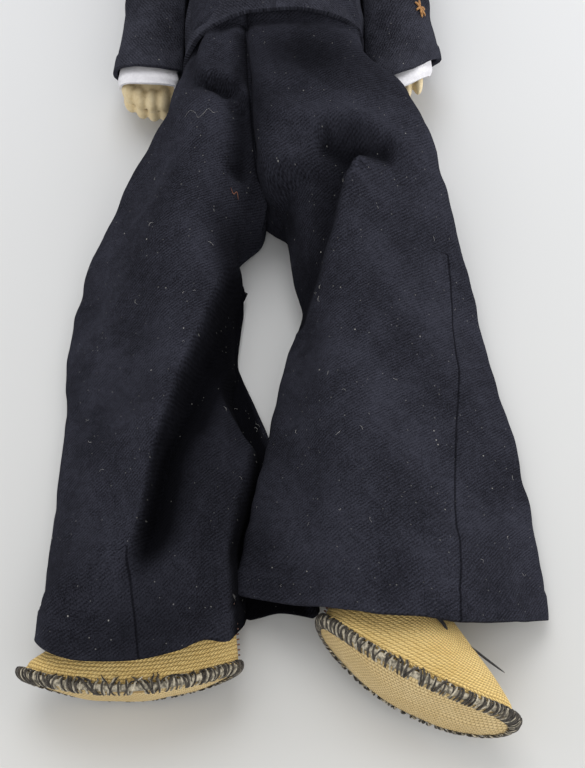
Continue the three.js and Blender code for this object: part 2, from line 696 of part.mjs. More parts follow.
function makeShoe(name, leg) {
  const toeward = leg.toe.clone().sub(leg.heel).normalize();
  const across = leg.footUp.clone().cross(toeward).normalize();
  const up = toeward.clone().cross(across);
  const frame = new THREE.Matrix4().makeBasis(toeward, across, up);
  frame.setPosition(leg.heel.clone().lerp(leg.toe, 0.5));
  const around = upTo(SHOE_POINTS).map((i) => (2 * Math.PI * i) / SHOE_POINTS);
  const place = (point, height) => point.clone().setZ(point.z + height).applyMatrix4(frame);
  const flat = (grow, scale, height) =>
    around.map((angle) => place(soleOutline(angle, grow, scale), height));

  const rim = CANVAS + FOOT_GAP;
  add(
    `shoe_sole_${name}`,
    skin([
      flat(rim, 0.5, -SOLE_THICKNESS),
      flat(rim, 1, -SOLE_THICKNESS),
      flat(rim, 1, 0),
      flat(rim, 0.5, 0),
    ]),
    SOLE_CLOTH,
  );

  // The foot rises from the sole and draws in to the ankle, steeply at the heel and sloping over the toes.
  // The ankle's circle lies across the leg, and each point of it faces the same way as one of the sole.
  const ankleEdge = (angle) => {
    const facing = toeward.clone().multiplyScalar(Math.cos(angle)).addScaledVector(across, Math.sin(angle));
    return facing.setY(0).setLength(ANKLE_RADIUS).add(leg.ankle);
  };
  const footRing = (share) =>
    around.map((angle) => {
      const from = place(soleOutline(angle, 0), GAP);
      const climb = ankleEdge(angle).sub(from);
      const height = up.clone().multiplyScalar(climb.dot(up));
      const level = climb.sub(height);
      const atToes = THREE.MathUtils.smoothstep(Math.cos(angle), -0.3, 0.9);
      const steep = 1 - Math.sqrt(1 - share * share);
      const inward = THREE.MathUtils.lerp(steep, share ** TOE_SLOPE, atToes);
      return from.addScaledVector(height, share).addScaledVector(level, inward);
    });
  const rings = [0, 0.16, 0.38, 0.62, 0.84, 1].map(footRing);
  add(`foot_${name}`, skin([flat(0, 0.5, GAP), ...rings]), CREAM_CLOTH);

  const shell = [FOOT_GAP + CANVAS, FOOT_GAP].map((distance) => {
    const moved = offset(rings, distance);
    moved[0] = flat(distance, 1, GAP);
    moved.at(-1).forEach((p) => (p.y = leg.ankle.y));
    return moved;
  });
  add(`shoe_upper_${name}`, skin([...shell[0], ...shell[1].toReversed()], "loop"), CANVAS_CLOTH);

  // The binding is one bead of thread round the edge, where the sole and the upper are whipped together.
  const bead = upTo(BEAD_POINTS).map((i) => (2 * Math.PI * i) / BEAD_POINTS);
  const beadRings = upTo(BINDING_STEPS).map((k) => {
    const angle = (2 * Math.PI * k) / BINDING_STEPS;
    const middle = rim + GAP + BINDING_RADIUS;
    return bead.map((turn) =>
      place(soleOutline(angle, middle + BINDING_RADIUS * Math.cos(turn)), BINDING_RADIUS * Math.sin(turn)),
    );
  });
  add(`shoe_binding_${name}`, skin(beadRings, "loop"), BINDING_THREAD);
}

// The arms. The sleeve's stations run from the shoulder, 0, to its hem.
const ARMS = {
  right: {
    side: -1,
    sleeveX: through([[0, ARM_PLANE + 5], [64, ARM_PLANE + 8.4], [95, ARM_PLANE + 11]]),
    hemSlant: 1,
    hemDroop: 5.5,
    hemShift: 0.5,
    handX: 37.4,
    handAbove: 7,
    handZ: 11.2,
    fingers: "curled",
  },
  left: {
    side: 1,
    sleeveX: through([[0, ARM_PLANE + 6], [64, ARM_PLANE + 9.8], [95, ARM_PLANE + 12.2]]),
    hemSlant: 6.5,
    hemDroop: 1.5,
    hemShift: 4.4,
    handX: 38.6,
    handAbove: 12,
    handZ: 10.4,
    fingers: "straight",
  },
};
const handTop = (arm) => SHOULDER_Y - SLEEVE_LENGTH + arm.handAbove;
const sleeveTop = through([[0, SHOULDER_HEIGHT + SLEEVE_CAP_RADIUS], [30, 33], [64, 28.5], [95, 25]]);
const sleeveLow = through([[0, SHOULDER_HEIGHT - SLEEVE_CAP_RADIUS], [30, 2.6], [64, 0.6], [95, 0.4]]);

function sleeveRing(arm, along) {
  const cap = along < 0 ? Math.sqrt(Math.max(0, 1 - (along / SLEEVE_CAP_RADIUS) ** 2)) : 1;
  const middle = (sleeveTop(along) + sleeveLow(along)) / 2;
  const half = ((sleeveTop(along) - sleeveLow(along)) / 2) * cap;
  const inner = ARM_PLANE - 4;
  const x = arm.sleeveX(along);
  const halfWidth = SLEEVE_HALF_WIDTH * cap;
  const ring = roundedRing({
    x: arm.side * Math.max(inner + (x - inner) * cap, inner + 0.5),
    halfWidth: Math.max(halfWidth, 0.4),
    low: middle - Math.max(half, 0.4),
    high: middle + Math.max(half, 0.4),
    y: SHOULDER_Y - along,
    points: SLEEVE_POINTS,
  });
  const nearHem = THREE.MathUtils.smoothstep(along, 0.6 * SLEEVE_LENGTH, SLEEVE_LENGTH);
  ring.forEach((p) => {
    const slant = (arm.hemSlant * (arm.side * p.x - x)) / SLEEVE_HALF_WIDTH;
    const droop = (arm.hemDroop * (p.z - middle)) / (2 * half);
    p.y += nearHem * (slant - droop + arm.hemShift);
  });
  return ring;
}

function makeArm(name, arm) {
  const capSteps = [-0.99, -0.85, -0.5].map((share) => share * SLEEVE_CAP_RADIUS);
  const outside = [...capSteps, ...steps(0, SLEEVE_LENGTH, 7)].map((along) => sleeveRing(arm, along));
  const inside = offset(outside, -WOOL);
  const beyondHem = lowered(inside.at(-1), SLEEVE_HALF_WIDTH);
  const outboard = (distance) => {
    const far = 4 * BODY_HALF_WIDTH;
    const block = new THREE.BoxGeometry(far, 4 * TROUSER_LENGTH, 4 * BODY_DEPTH);
    return solid(block.translate(arm.side * (distance + far / 2), 0, 0));
  };
  const armSide = ARM_PLANE + JOINT_GAP / 2;
  const cloth = solid(skin(outside)).intersect(outboard(armSide));
  const hollow = solid(skin([...inside, beyondHem])).intersect(outboard(armSide + WOOL));
  const armhole = shoulderBar(arm.side, armSide - GAP, armSide + BAR_DEPTH, ARMHOLE_RADIUS);
  add(`sleeve_${name}`, cloth.subtract(hollow).subtract(armhole), NAVY);

  const cuffFrom = SLEEVE_LENGTH - CUFF_TUCK;
  const cuffRings = steps(cuffFrom, SLEEVE_LENGTH, 3).map((along) => sleeveRing(arm, along));
  const shown = lowered(cuffRings.at(-1), CUFF_SHOWS);
  const cuffOutside = offset([...cuffRings, shown], -WOOL - GAP);
  const cuff = solid(clothUnder(cuffOutside, LINEN));
  add(`cuff_${name}`, cuff.intersect(outboard(armSide + WOOL + GAP)), WHITE_LINEN);

  // The stuffed arm fills the sleeve at the shoulder and tapers to the wrist.
  const wristAlong = SHOULDER_Y - handTop(arm);
  const slimming = through([[-SLEEVE_CAP_RADIUS, 1], [0, 1], [40, 0.86], [wristAlong, 0]]);
  const wrist = roundedRing({
    x: arm.side * arm.handX,
    halfWidth: WRIST_RADIUS,
    low: arm.handZ - WRIST_RADIUS,
    high: arm.handZ + WRIST_RADIUS,
    y: handTop(arm) + GAP,
    points: SLEEVE_POINTS,
  });
  const filled = offset(outside, -WOOL - GAP).filter((ring) => centreOf(ring).y > handTop(arm) + 8);
  const armRings = filled.map((ring) => {
    const along = SHOULDER_Y - centreOf(ring).y;
    return ring.map((p, i) => {
      const thin = new THREE.Vector3(wrist[i].x, p.y, wrist[i].z);
      return thin.lerp(p, slimming(along));
    });
  });
  const stump = shoulderBar(arm.side, armSide, armSide + BAR_DEPTH, ARMHOLE_RADIUS - GAP);
  const limb = solid(skin([...armRings, wrist])).intersect(outboard(armSide + WOOL + GAP));
  add(`arm_${name}`, limb.add(stump), CREAM_CLOTH);
  add(`hand_${name}`, hand(arm), CREAM_CLOTH);
}

// A stuffed hand: a palm, four sewn fingers and a thumb on the side of the body.
const FINGERS = 4;
const FINGER_STYLES = {
  curled: { length: 5, thickness: 0.36 * HAND_DEPTH, drawnIn: 0.5, raised: 0.6 },
  straight: { length: 6.4, thickness: 0.27 * HAND_DEPTH, drawnIn: 0.12, raised: 0 },
};
const THUMB = { length: 5.2, thickness: 2.3, turned: 0.25, inset: 2.2, lowered: 1.5 };

function hand(arm) {
  const palmRing = (down, halfWidth, halfDepth) =>
    roundedRing({
      x: arm.side * arm.handX,
      halfWidth,
      low: arm.handZ - halfDepth,
      high: arm.handZ + halfDepth,
      y: handTop(arm) - down,
      points: LIMB_POINTS,
    });
  const knuckles = 0.62 * HAND_LENGTH;
  let made = solid(
    skin([
      palmRing(0, WRIST_RADIUS, WRIST_RADIUS),
      palmRing(0.3 * HAND_LENGTH, HAND_HALF_WIDTH, HAND_DEPTH / 2),
      palmRing(knuckles, HAND_HALF_WIDTH, 0.42 * HAND_DEPTH),
      palmRing(knuckles + 3, 0.7 * HAND_HALF_WIDTH, 0.26 * HAND_DEPTH),
    ]),
  );
  const { length, thickness, drawnIn, raised } = FINGER_STYLES[arm.fingers];
  const spacing = (2 * HAND_HALF_WIDTH) / FINGERS;
  for (const i of upTo(FINGERS)) {
    const sideways = (i - (FINGERS - 1) / 2) * spacing;
    const centre = [
      arm.side * (arm.handX + sideways * (1 - 0.3 * drawnIn)),
      handTop(arm) - HAND_LENGTH + length + Math.abs(sideways) * 0.25,
      arm.handZ + raised,
    ];
    const turn = new THREE.Euler(0, 0, (arm.side * drawnIn * sideways) / HAND_HALF_WIDTH);
    made = made.add(ellipsoid(centre, [spacing * 0.66, length, thickness], turn, FINGER_POINTS));
  }
  const thumb = ellipsoid(
    [
      arm.side * (arm.handX - HAND_HALF_WIDTH + THUMB.inset),
      handTop(arm) - 0.66 * HAND_LENGTH,
      arm.handZ - THUMB.lowered,
    ],
    [THUMB.thickness, THUMB.length, THUMB.thickness],
    new THREE.Euler(0, 0, -arm.side * THUMB.turned),
    FINGER_POINTS,
  );
  return made.add(thumb);
}

makeTrunk();
makeHead();
for (const [name, arm] of Object.entries(ARMS)) makeArm(name, arm);
for (const [name, leg] of Object.entries(LEGS)) makeLeg(name, leg);

export default doll;
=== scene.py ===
import math

import bpy
import numpy as np
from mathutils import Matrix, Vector


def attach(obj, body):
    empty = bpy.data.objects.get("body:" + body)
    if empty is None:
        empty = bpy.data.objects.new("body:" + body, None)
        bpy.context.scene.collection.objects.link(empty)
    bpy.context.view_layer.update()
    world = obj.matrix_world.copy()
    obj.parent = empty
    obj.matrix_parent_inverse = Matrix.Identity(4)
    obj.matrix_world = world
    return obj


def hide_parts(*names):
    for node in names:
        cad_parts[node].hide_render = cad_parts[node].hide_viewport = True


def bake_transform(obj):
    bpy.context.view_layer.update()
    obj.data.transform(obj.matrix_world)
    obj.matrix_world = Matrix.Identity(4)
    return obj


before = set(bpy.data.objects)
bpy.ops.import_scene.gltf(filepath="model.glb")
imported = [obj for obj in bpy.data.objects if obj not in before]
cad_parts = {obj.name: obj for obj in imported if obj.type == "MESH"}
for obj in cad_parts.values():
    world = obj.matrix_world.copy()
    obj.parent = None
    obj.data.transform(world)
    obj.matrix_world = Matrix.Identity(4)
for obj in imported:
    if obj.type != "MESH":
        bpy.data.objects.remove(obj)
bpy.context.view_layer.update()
MM = 0.001

# Sizes that the clothes share with the model
WOOL, LINEN, CANVAS_THICKNESS = 1.3, 0.7, 1.1
HIP_Y, TROUSER_TOP, TROUSER_LENGTH = -60.0, -0.33, 144.0
SHOULDER_Y, AXIS_Z = 64.0, 21.0
BODY_SIDE, ARM_SIDE = 26.8, 27.25
NECKLINE_Y, V_DEPTH, V_HALF_WIDTH = 85.0, 33.0, 10.5
CHIN_Y, HEAD_HEIGHT, HEAD_HALF_WIDTH, HEAD_DEPTH, HEAD_BACK = 88.0, 57.0, 23.0, 42.0, 3.7
SLEEVE_LENGTH, SLEEVE_HALF_WIDTH, SLEEVE_CAP = 95.0, 11.8, 14.5
ANKLE_RADIUS = 7.0
FOOT_LENGTH, FOOT_WIDTH, SOLE_ROCKER = 47.5, 17.6, 4.2
TWILL_PITCH, CANVAS_PITCH = 0.75, 0.95


# Curves and numbers

def through(stations):
    """A smooth curve through stations of (place, value), level beyond its ends."""
    xs, ys = np.array(sorted(stations), float).T
    last = len(xs) - 1
    before, after = np.maximum(np.arange(last + 1) - 1, 0), np.minimum(np.arange(last + 1) + 1, last)
    slopes = (ys[after] - ys[before]) / (xs[after] - xs[before])

    def curve(place):
        x = np.clip(np.asarray(place, float), xs[0], xs[-1])
        i = np.clip(np.searchsorted(xs, x, side="right") - 1, 0, last - 1)
        span = xs[i + 1] - xs[i]
        t = (x - xs[i]) / span
        r = 1 - t
        return (ys[i] * (1 + 2 * t) * r * r + slopes[i] * span * t * r * r
                + ys[i + 1] * (3 - 2 * t) * t * t - slopes[i + 1] * span * t * t * r)

    return curve


def smoothstep(value, low, high):
    t = np.clip((value - low) / (high - low), 0, 1)
    return t * t * (3 - 2 * t)


def bell(value, width):
    """1 at 0, and next to nothing two widths away."""
    return np.exp(-(value / width) ** 2)


def unit(vectors):
    return vectors / np.maximum(np.linalg.norm(vectors, axis=-1, keepdims=True), 1e-9)


def vec(x, y, z):
    """Points from their three coordinates, each an array or a number."""
    return np.stack(np.broadcast_arrays(x, y, z), -1)


def ripples(points, length, seed, waves=28):
    """A smooth random height of about unit size over points, with bumps about as far apart as a length."""
    random = np.random.default_rng(seed)
    total = np.zeros(points.shape[:-1])
    for _ in range(waves):
        way = unit(random.normal(size=3))
        pitch = length * random.uniform(0.7, 1.6)
        total += np.sin(points @ way * math.tau / pitch + random.uniform(0, math.tau))
    return total * math.sqrt(2 / waves)


def spline(corners, count=60):
    """Points evenly spread along a smooth curve through corners."""
    corners = np.asarray(corners, float)
    reach = np.concatenate([[0], np.cumsum(np.linalg.norm(np.diff(corners, axis=0), axis=1))])
    places = np.linspace(0, reach[-1], count)
    return np.stack([through(list(zip(reach, column)))(places) for column in corners.T], 1)


def beside(line, x, y):
    """Each point's distance from a line, positive on its left, and its share of the way along, from 0 to 1."""
    flat = np.stack([x.ravel(), y.ravel()], 1)
    best = np.full(len(flat), np.inf)
    side, share = np.zeros(len(flat)), np.zeros(len(flat))
    for i, (p, d) in enumerate(zip(line[:-1], np.diff(line, axis=0))):
        rel = flat - p
        t = np.clip((rel @ d) / (d @ d), 0, 1)
        away = np.linalg.norm(rel - t[:, None] * d, axis=1)
        near = away < best
        best[near] = away[near]
        side[near] = np.sign(d[0] * rel[near, 1] - d[1] * rel[near, 0])
        share[near] = (i + t[near]) / (len(line) - 1)
    return (best * side).reshape(x.shape), share.reshape(x.shape)


# Meshes

def mesh_object(name, points, faces):
    """A smooth object from points in millimetres."""
    mesh = bpy.data.meshes.new(name)
    mesh.from_pydata([tuple(p) for p in np.asarray(points, float) * MM], [],
                     [tuple(int(i) for i in f) for f in faces])
    return linked(name, mesh)


def linked(name, mesh):
    mesh.polygons.foreach_set("use_smooth", [True] * len(mesh.polygons))
    mesh.update()
    made = bpy.data.objects.new(name, mesh)
    bpy.context.scene.collection.objects.link(made)
    return made


def grid_faces(rows, columns, round_rows=False, round_columns=True):
    """The faces of a grid of points, row after row, closed round either way."""
    i, j = [a.ravel() for a in np.meshgrid(np.arange(rows if round_rows else rows - 1),
                                           np.arange(columns if round_columns else columns - 1),
                                           indexing="ij")]
    i2, j2 = (i + 1) % rows, (j + 1) % columns
    return np.stack([i * columns + j, i * columns + j2, i2 * columns + j2, i2 * columns + j], 1)


def grid_normals(points, round_columns=True):
    """The normals of a grid of points."""
    across = np.roll(points, -1, 1) - np.roll(points, 1, 1) if round_columns else np.gradient(points, axis=1)
    return unit(np.cross(across, np.gradient(points, axis=0)))


def outward_of(points, round_columns=True):
    normals = grid_normals(points, round_columns)
    turned = np.einsum("ijk,ijk->", normals, points - points.mean(1, keepdims=True))
    return normals if turned > 0 else -normals


def closed_tube(name, points):
    """A closed body from rows of points, with its faces turned outwards."""
    rows, columns = points.shape[:2]
    ends = [tuple(range(columns)), tuple(range((rows - 1) * columns, rows * columns))]
    made = mesh_object(name, points.reshape(-1, 3), list(grid_faces(rows, columns)) + ends)
    made.data.calc_loop_triangles()
    a, b, c = np.array([[made.data.vertices[i].co for i in t.vertices] for t in made.data.loop_triangles]
                       ).transpose(1, 0, 2)
    if np.einsum("ij,ij->", a, np.cross(b, c)) < 0:
        made.data.flip_normals()
    return made


def give(obj, name, values):
    """Stores one number, or three, at each point of the mesh for its material to read."""
    values = np.asarray(values, np.float32)
    kind, key = ("FLOAT", "value") if values.ndim == 1 else ("FLOAT_VECTOR", "vector")
    obj.data.attributes.new(name, kind, "POINT").data.foreach_set(key, values.ravel())


def applied(obj, **kinds):
    """Adds modifiers, each with its settings, and applies them."""
    for kind, settings in kinds.items():
        made = obj.modifiers.new(kind.title(), kind)
        for key, value in settings.items():
            setattr(made, key, value)
    graph = bpy.context.evaluated_depsgraph_get()
    graph.update()
    obj.data = bpy.data.meshes.new_from_object(obj.evaluated_get(graph), preserve_all_data_layers=True,
                                               depsgraph=graph)
    obj.modifiers.clear()
    obj.data.polygons.foreach_set("use_smooth", [True] * len(obj.data.polygons))
    return obj


def softened(obj, voxel, passes):
    """A body with one even skin and rounded edges."""
    return applied(obj, REMESH=dict(mode="VOXEL", voxel_size=voxel * MM),
                   SMOOTH=dict(factor=0.5, iterations=passes))


def thread(points, radius, sides, closed):
    """The points and faces of a thread along a line of points, thinner towards its ends."""
    points = np.asarray(points, float)
    count = len(points)
    ahead = unit(np.roll(points, -1, 0) - np.roll(points, 1, 0) if closed else np.gradient(points, axis=0))
    across = unit(np.cross(ahead, [0.13, 0.31, 0.94]))
    for i in range(1, count):
        kept = across[i - 1] - ahead[i] * (across[i - 1] @ ahead[i])
        if np.linalg.norm(kept) > 1e-6:
            across[i] = unit(kept)
    turn = np.arange(sides) * math.tau / sides
    size = radius * (1 if closed else np.sqrt(np.clip(1 - np.linspace(-1, 1, count) ** 4, 0.05, 1)))
    ring = np.cos(turn)[:, None] * across[:, None] + np.sin(turn)[:, None] * np.cross(ahead, across)[:, None]
    shell = points[:, None] + np.broadcast_to(size, count)[:, None, None] * ring
    faces = [tuple(f) for f in grid_faces(count, sides, round_rows=closed)]
    if not closed:
        faces += [tuple(range(sides))[::-1], tuple((count - 1) * sides + k for k in range(sides))]
    return shell.reshape(-1, 3), faces


def threads(name, lines, radius, finish, body, *replaces, sides=5, closed=False):
    """One object made of many threads. radius is one size or one for each line."""
    points, faces, start = [], [], 0
    for line, size in zip(lines, np.broadcast_to(radius, (len(lines),))):
        p, f = thread(line, size, sides, closed)
        points.append(p)
        faces += [tuple(i + start for i in face) for face in f]
        start += len(p)
    return dress(mesh_object(name, np.concatenate(points), faces), finish, body, *replaces)


# Materials

def linear(shade):
    """A colour written as 0 to 255, as Blender's linear values."""
    s = np.asarray(shade, float) / 255
    return tuple(np.where(s <= 0.04045, s / 12.92, ((s + 0.055) / 1.055) ** 2.4)) + (1.0,)


class Finish:
    """A procedural material and short calls for its nodes."""

    def __init__(self, name, roughness, specular, sheen=0.0, sheen_tint=(255, 255, 255)):
        self.material = bpy.data.materials.new(name)
        self.material.use_nodes = True
        self.tree = self.material.node_tree
        self.shader = self.tree.nodes["Principled BSDF"].inputs
        for key, value in (("Roughness", roughness), ("Specular IOR Level", specular),
                           ("Sheen Weight", sheen),
                           ("Sheen Roughness", 0.45), ("Sheen Tint", linear(sheen_tint))):
            self.shader[key].default_value = value

    def feed(self, socket, value):
        if hasattr(value, "is_output"):
            self.tree.links.new(value, socket)
        else:
            socket.default_value = value

    def node(self, kind, inputs=(), out=0, **settings):
        made = self.tree.nodes.new("ShaderNode" + kind)
        for key, value in settings.items():
            setattr(made, key, value)
        for key, value in dict(inputs).items():
            self.feed(made.inputs[key], value)
        return made.outputs[out]

    def math(self, operation, *values):
        return self.node("Math", enumerate(values), operation=operation)

    def times(self, a, b):
        return self.math("MULTIPLY", a, b)

    def sum(self, *parts):
        """The sum of values, each times a number."""
        total = 0.0
        for value, share in parts:
            total = self.math("MULTIPLY_ADD", value, share, total)
        return total

    def between(self, value, low, high, to_low=0.0, to_high=1.0):
        """Maps a value smoothly from one range to another."""
        return self.node("MapRange", enumerate((value, low, high, to_low, to_high)),
                         interpolation_type="SMOOTHSTEP")

    def mix(self, share, a, b):
        return self.node("MixRGB", enumerate((share, a, b)))

    def noise(self, where, scale, detail=3.0, roughness=0.6):
        return self.node("TexNoise", {"Vector": where, "Scale": scale, "Detail": detail,
                                      "Roughness": roughness})

    def stored(self, name, out="Fac"):
        return self.node("Attribute", out=out, attribute_name=name)

    def place(self):
        """Where a point is on the object, in millimetres."""
        return self.node("VectorMath", {0: self.node("TexCoord", out="Object"), "Scale": 1 / MM},
                         operation="SCALE")

    def split(self, vector):
        return self.node("SeparateXYZ", {0: vector}, out=slice(0, 3))

    def ribs(self, phase, pitch):
        """Rounded ribs along a place in millimetres, 0 between them and 1 on top."""
        return self.math("MULTIPLY_ADD", self.math("SINE", self.times(phase, math.tau / pitch)), 0.5, 0.5)

    def specks(self, where, scale, size, kept):
        """1 on small dots that are scattered over a surface, in only a share of the places."""
        away, colour = self.node("TexVoronoi", {"Vector": where, "Scale": scale}, out=slice(0, 2))
        chosen = self.math("LESS_THAN", self.node("SeparateColor", {0: colour}), kept)
        return self.times(self.between(away, size * 0.6, size, 1.0, 0.0), chosen)

    def finish(self, colour, height=None, depth=0.0, strength=0.0):
        self.feed(self.shader["Base Color"], colour)
        if height is not None:
            bump = self.node("Bump", {"Strength": strength, "Distance": depth * MM, "Height": height})
            self.feed(self.shader["Normal"], bump)
        return self.material


def twill(name, dark, light, lint=0.35, tilt=(0.57, -0.82)):
    """Navy wool twill: diagonal ribs that wander, a fuzzy nap, seams, lint, and painted shade in its creases
    and pressed places.
    """
    f = Finish(name, 0.97, 0.0, sheen=0.014, sheen_tint=(206, 208, 224))
    weave = f.stored("weave", "Vector")
    u, v, _ = f.split(weave)
    ribs = f.ribs(f.sum((v, tilt[1]), (u, tilt[0]), (f.noise(weave, 0.35, 2.0, 0.5), 0.5)), TWILL_PITCH)
    picks = f.ribs(f.sum((v, tilt[0] * 1.4), (u, tilt[1] * 0.6)), 0.62)
    nap = f.noise(weave, 2.6, 4.0, 0.75)
    clumps, worn = f.noise(weave, 0.5), f.noise(weave, 0.045)
    shade = f.sum((picks, 0.06), (ribs, 0.17), (f.between(nap, 0.32, 0.72), 0.62),
                  (f.between(clumps, 0.3, 0.75), 0.16), (f.between(worn, 0.3, 0.7), 0.26))
    colour = f.mix(f.between(shade, 0.1, 1.15), linear(dark), linear(light))
    # Painted shade: the colour goes towards near black where the cloth's stored shade is high.
    colour = f.mix(f.times(f.stored("painted_shade"), 0.9), colour, linear((7, 7, 9)))
    dust = f.math("MAXIMUM", f.times(f.specks(weave, 0.21, 0.05, 0.4), lint),
                  f.times(f.specks(weave, 0.62, 0.12, 0.3), lint * 0.45))
    colour = f.mix(dust, colour, linear((214, 212, 206)))
    seam = f.math("ABSOLUTE", f.stored("seam"))
    colour = f.mix(f.between(seam, 0.12, 0.42, 0.7, 0.0), colour, linear((11, 11, 14)))
    height = f.sum((nap, 0.8), (ribs, 0.4), (f.between(seam, 0.0, 0.9), 1.2))
    return f.finish(colour, height, depth=0.16, strength=0.75)


def canvas(name, dark, light, gap):
    """Canvas of thick ribs with finer threads across them, a little soiled."""
    f = Finish(name, 0.88, 0.15, sheen=0.12, sheen_tint=(255, 240, 205))
    weave = f.stored("weave", "Vector")
    u, v, _ = f.split(weave)
    rise = f.sum((f.noise(weave, 0.3, 3.0, 0.5), 0.9), (v, 1.0))
    row = f.math("FLOOR", f.math("DIVIDE", rise, CANVAS_PITCH))
    picks = f.ribs(f.sum((f.math("MODULO", row, 2.0), 0.45), (u, 1.0)), 0.9)
    knots = f.times(f.math("POWER", f.ribs(rise, CANVAS_PITCH), 0.6), f.math("POWER", picks, 0.45))
    slub, stain = f.noise(weave, 0.9, 3.0, 0.65), f.noise(weave, 0.07, 4.0, 0.62)
    tone = f.sum((f.between(stain, 0.3, 0.75), 0.5), (f.between(slub, 0.3, 0.7), 0.5))
    cloth_colour = f.mix(tone, linear(dark), linear(light))
    colour = f.mix(f.between(knots, 0.0, 0.45, 0.85, 0.0), cloth_colour, linear(gap))
    return f.finish(colour, f.sum((slub, 0.4), (knots, 1.0)), depth=0.28, strength=0.8)


def plain_cloth(name, dark, light, pitch, thread_gap_and_crease_shade, blush=None):
    """Fine plain-woven cotton with faint stains, and painted shade that darkens its creases."""
    f = Finish(name, 0.9, 0.15, sheen=0.1)
    where = f.place()
    x, y, z = f.split(where)
    grain = f.math("MAXIMUM", f.ribs(f.sum((x, 1.0), (z, 1.0)), pitch),
                   f.ribs(f.sum((y, 1.0), (z, 0.5)), pitch))
    stain, mottle = f.noise(where, 0.16, 4.0), f.noise(where, 1.1)
    tone = f.sum((f.between(mottle, 0.3, 0.7), 0.35), (f.between(stain, 0.3, 0.7), 0.65))
    colour = f.mix(tone, linear(dark), linear(light))
    # Painted shade: where the surface curves inwards, in creases, the colour is drawn towards the darker
    # colour.
    crease = f.between(f.node("NewGeometry", out="Pointiness"), 0.40, 0.485, 0.8, 0.0)
    for share in (f.between(grain, 0.2, 0.9, 0.16, 0.0), crease):
        colour = f.mix(share, colour, linear(thread_gap_and_crease_shade))
    if blush:
        colour = f.mix(f.times(f.stored("blush"), 0.75), colour, linear(blush))
    return f.finish(colour, f.sum((mottle, 0.6), (grain, 0.6)), depth=0.07, strength=0.7)


def yarn(name, dark, light, scale=1.4, sheen=0.15, roughness=0.75):
    """Thread or wool that is darker and lighter from place to place, with fine fibres."""
    f = Finish(name, roughness, 0.25, sheen=sheen)
    where = f.place()
    tone = f.between(f.noise(where, scale), 0.32, 0.68)
    fibres = f.noise(where, 6.0, 3.0, 0.7)
    colour = f.mix(f.sum((tone, 0.75), (fibres, 0.4)), linear(dark), linear(light))
    return f.finish(colour, fibres, depth=0.06, strength=0.8)


# Each finish is a material and the slot that it belongs to.
NAVY = twill("navy_twill", (21, 21, 25), (58, 59, 69)), "navy_wool"
JUMPER_WOOL = twill("jumper_twill", (22, 22, 26), (66, 67, 77), lint=0.3, tilt=(0.7, 0.7)), "navy_wool"
SHIRT_COTTON = plain_cloth("white_cotton", (214, 213, 218), (238, 237, 241), 0.3,
                           (160, 156, 158)), "white_linen"
SKIN_COTTON = plain_cloth("cream_cotton", (220, 197, 150), (243, 227, 190), 0.34, (126, 96, 52),
                          blush=(196, 112, 86)), "body_cloth"
CANVAS = canvas("yellow_canvas", (222, 188, 116), (248, 220, 152), (146, 116, 64)), "yellow_canvas"
SOLE_CANVAS = canvas("pale_canvas", (212, 184, 128), (240, 216, 164), (146, 120, 78)), "pale_canvas"
LINT = yarn("lint", (112, 111, 112), (196, 194, 191)), "white_linen"
HAIR_WOOL = yarn("hair_wool", (52, 33, 20), (104, 70, 44), scale=0.7, sheen=0.3), "hair_wool"
DARK_THREAD = yarn("dark_thread", (18, 16, 16), (80, 74, 66), scale=1.1), "dark_thread"
BLACK_THREAD = yarn("black_thread", (20, 19, 20), (52, 50, 52)), "dark_thread"
GOLD_THREAD = yarn("gold_thread", (128, 82, 40), (186, 140, 88)), "dark_thread"
LIP_THREAD = yarn("lip_thread", (142, 64, 56), (176, 92, 80)), "dark_thread"
BROWN_THREAD = yarn("brown_thread", (54, 34, 22), (92, 62, 42)), "dark_thread"
PALE_FUZZ = yarn("pale_fuzz", (16, 15, 14), (204, 194, 172), scale=1.0, roughness=0.9), "dark_thread"
RED_THREAD = yarn("red_thread", (92, 52, 40), (140, 92, 70)), "dark_thread"


def dress(obj, finish, body, *replaces):
    """Gives a piece its finish and the body that it rides on, if any, and hides the nodes that it stands for.
    """
    material, slot = finish
    obj.data.materials.clear()
    obj.data.materials.append(material)
    if body:
        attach(obj, body)
    if replaces:
        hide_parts(*replaces)
    return obj


def pad(obj, body, node, finish=SKIN_COTTON):
    """Dresses a stuffed piece that stands for a node."""
    if finish is SKIN_COTTON and "blush" not in obj.data.attributes:
        give(obj, "blush", np.zeros(len(obj.data.vertices)))
    dress(obj, finish, body, node)


# Sheets of cloth

def cloth(name, points, thickness, finish, body, nodes, weave=None,
          seam=9.0,
          painted_shade=0.0, edge=0.35, round_columns=True, outside=None, merge=False):
    """A sheet of cloth from a grid of points on its outside, with rounded edges. It was cut to a shape within
    a flat width and length. seam is the distance from the nearest seam, which the material draws."""
    ways = points - points.mean(axis=1, keepdims=True) if outside is None else outside
    size = points.shape[:2]
    # Besides the weave and the seams, each point stores how much painted shade its material lays on it.
    stored = {"weave": points if weave is None else weave, "seam": np.broadcast_to(seam, size),
              "painted_shade": np.broadcast_to(painted_shade, size)}
    if np.einsum("ijk,ijk->", grid_normals(points, round_columns), ways) < 0:
        points = points[:, ::-1]
        stored = {key: values[:, ::-1] for key, values in stored.items()}
    made = mesh_object(name, points.reshape(-1, 3), grid_faces(*size, round_columns=round_columns))
    for key, values in stored.items():
        give(made, key, values.reshape(-1, 3) if values.ndim == 3 else values.ravel())
    if merge:
        applied(made, WELD=dict(merge_threshold=0.004 * MM))
    applied(made, SOLIDIFY=dict(thickness=thickness * MM, offset=-1, use_even_offset=False, use_rim=True),
            BEVEL=dict(width=edge * MM, segments=2, limit_method="ANGLE", angle_limit=math.radians(76)))
    dress(made, finish, body, *nodes)
    return made


def around(points):
    """Distances round each row from its first point, in millimetres."""
    steps = np.linalg.norm(np.diff(points, axis=1), axis=2)
    return np.concatenate([np.zeros((len(points), 1)), np.cumsum(steps, axis=1)], 1)


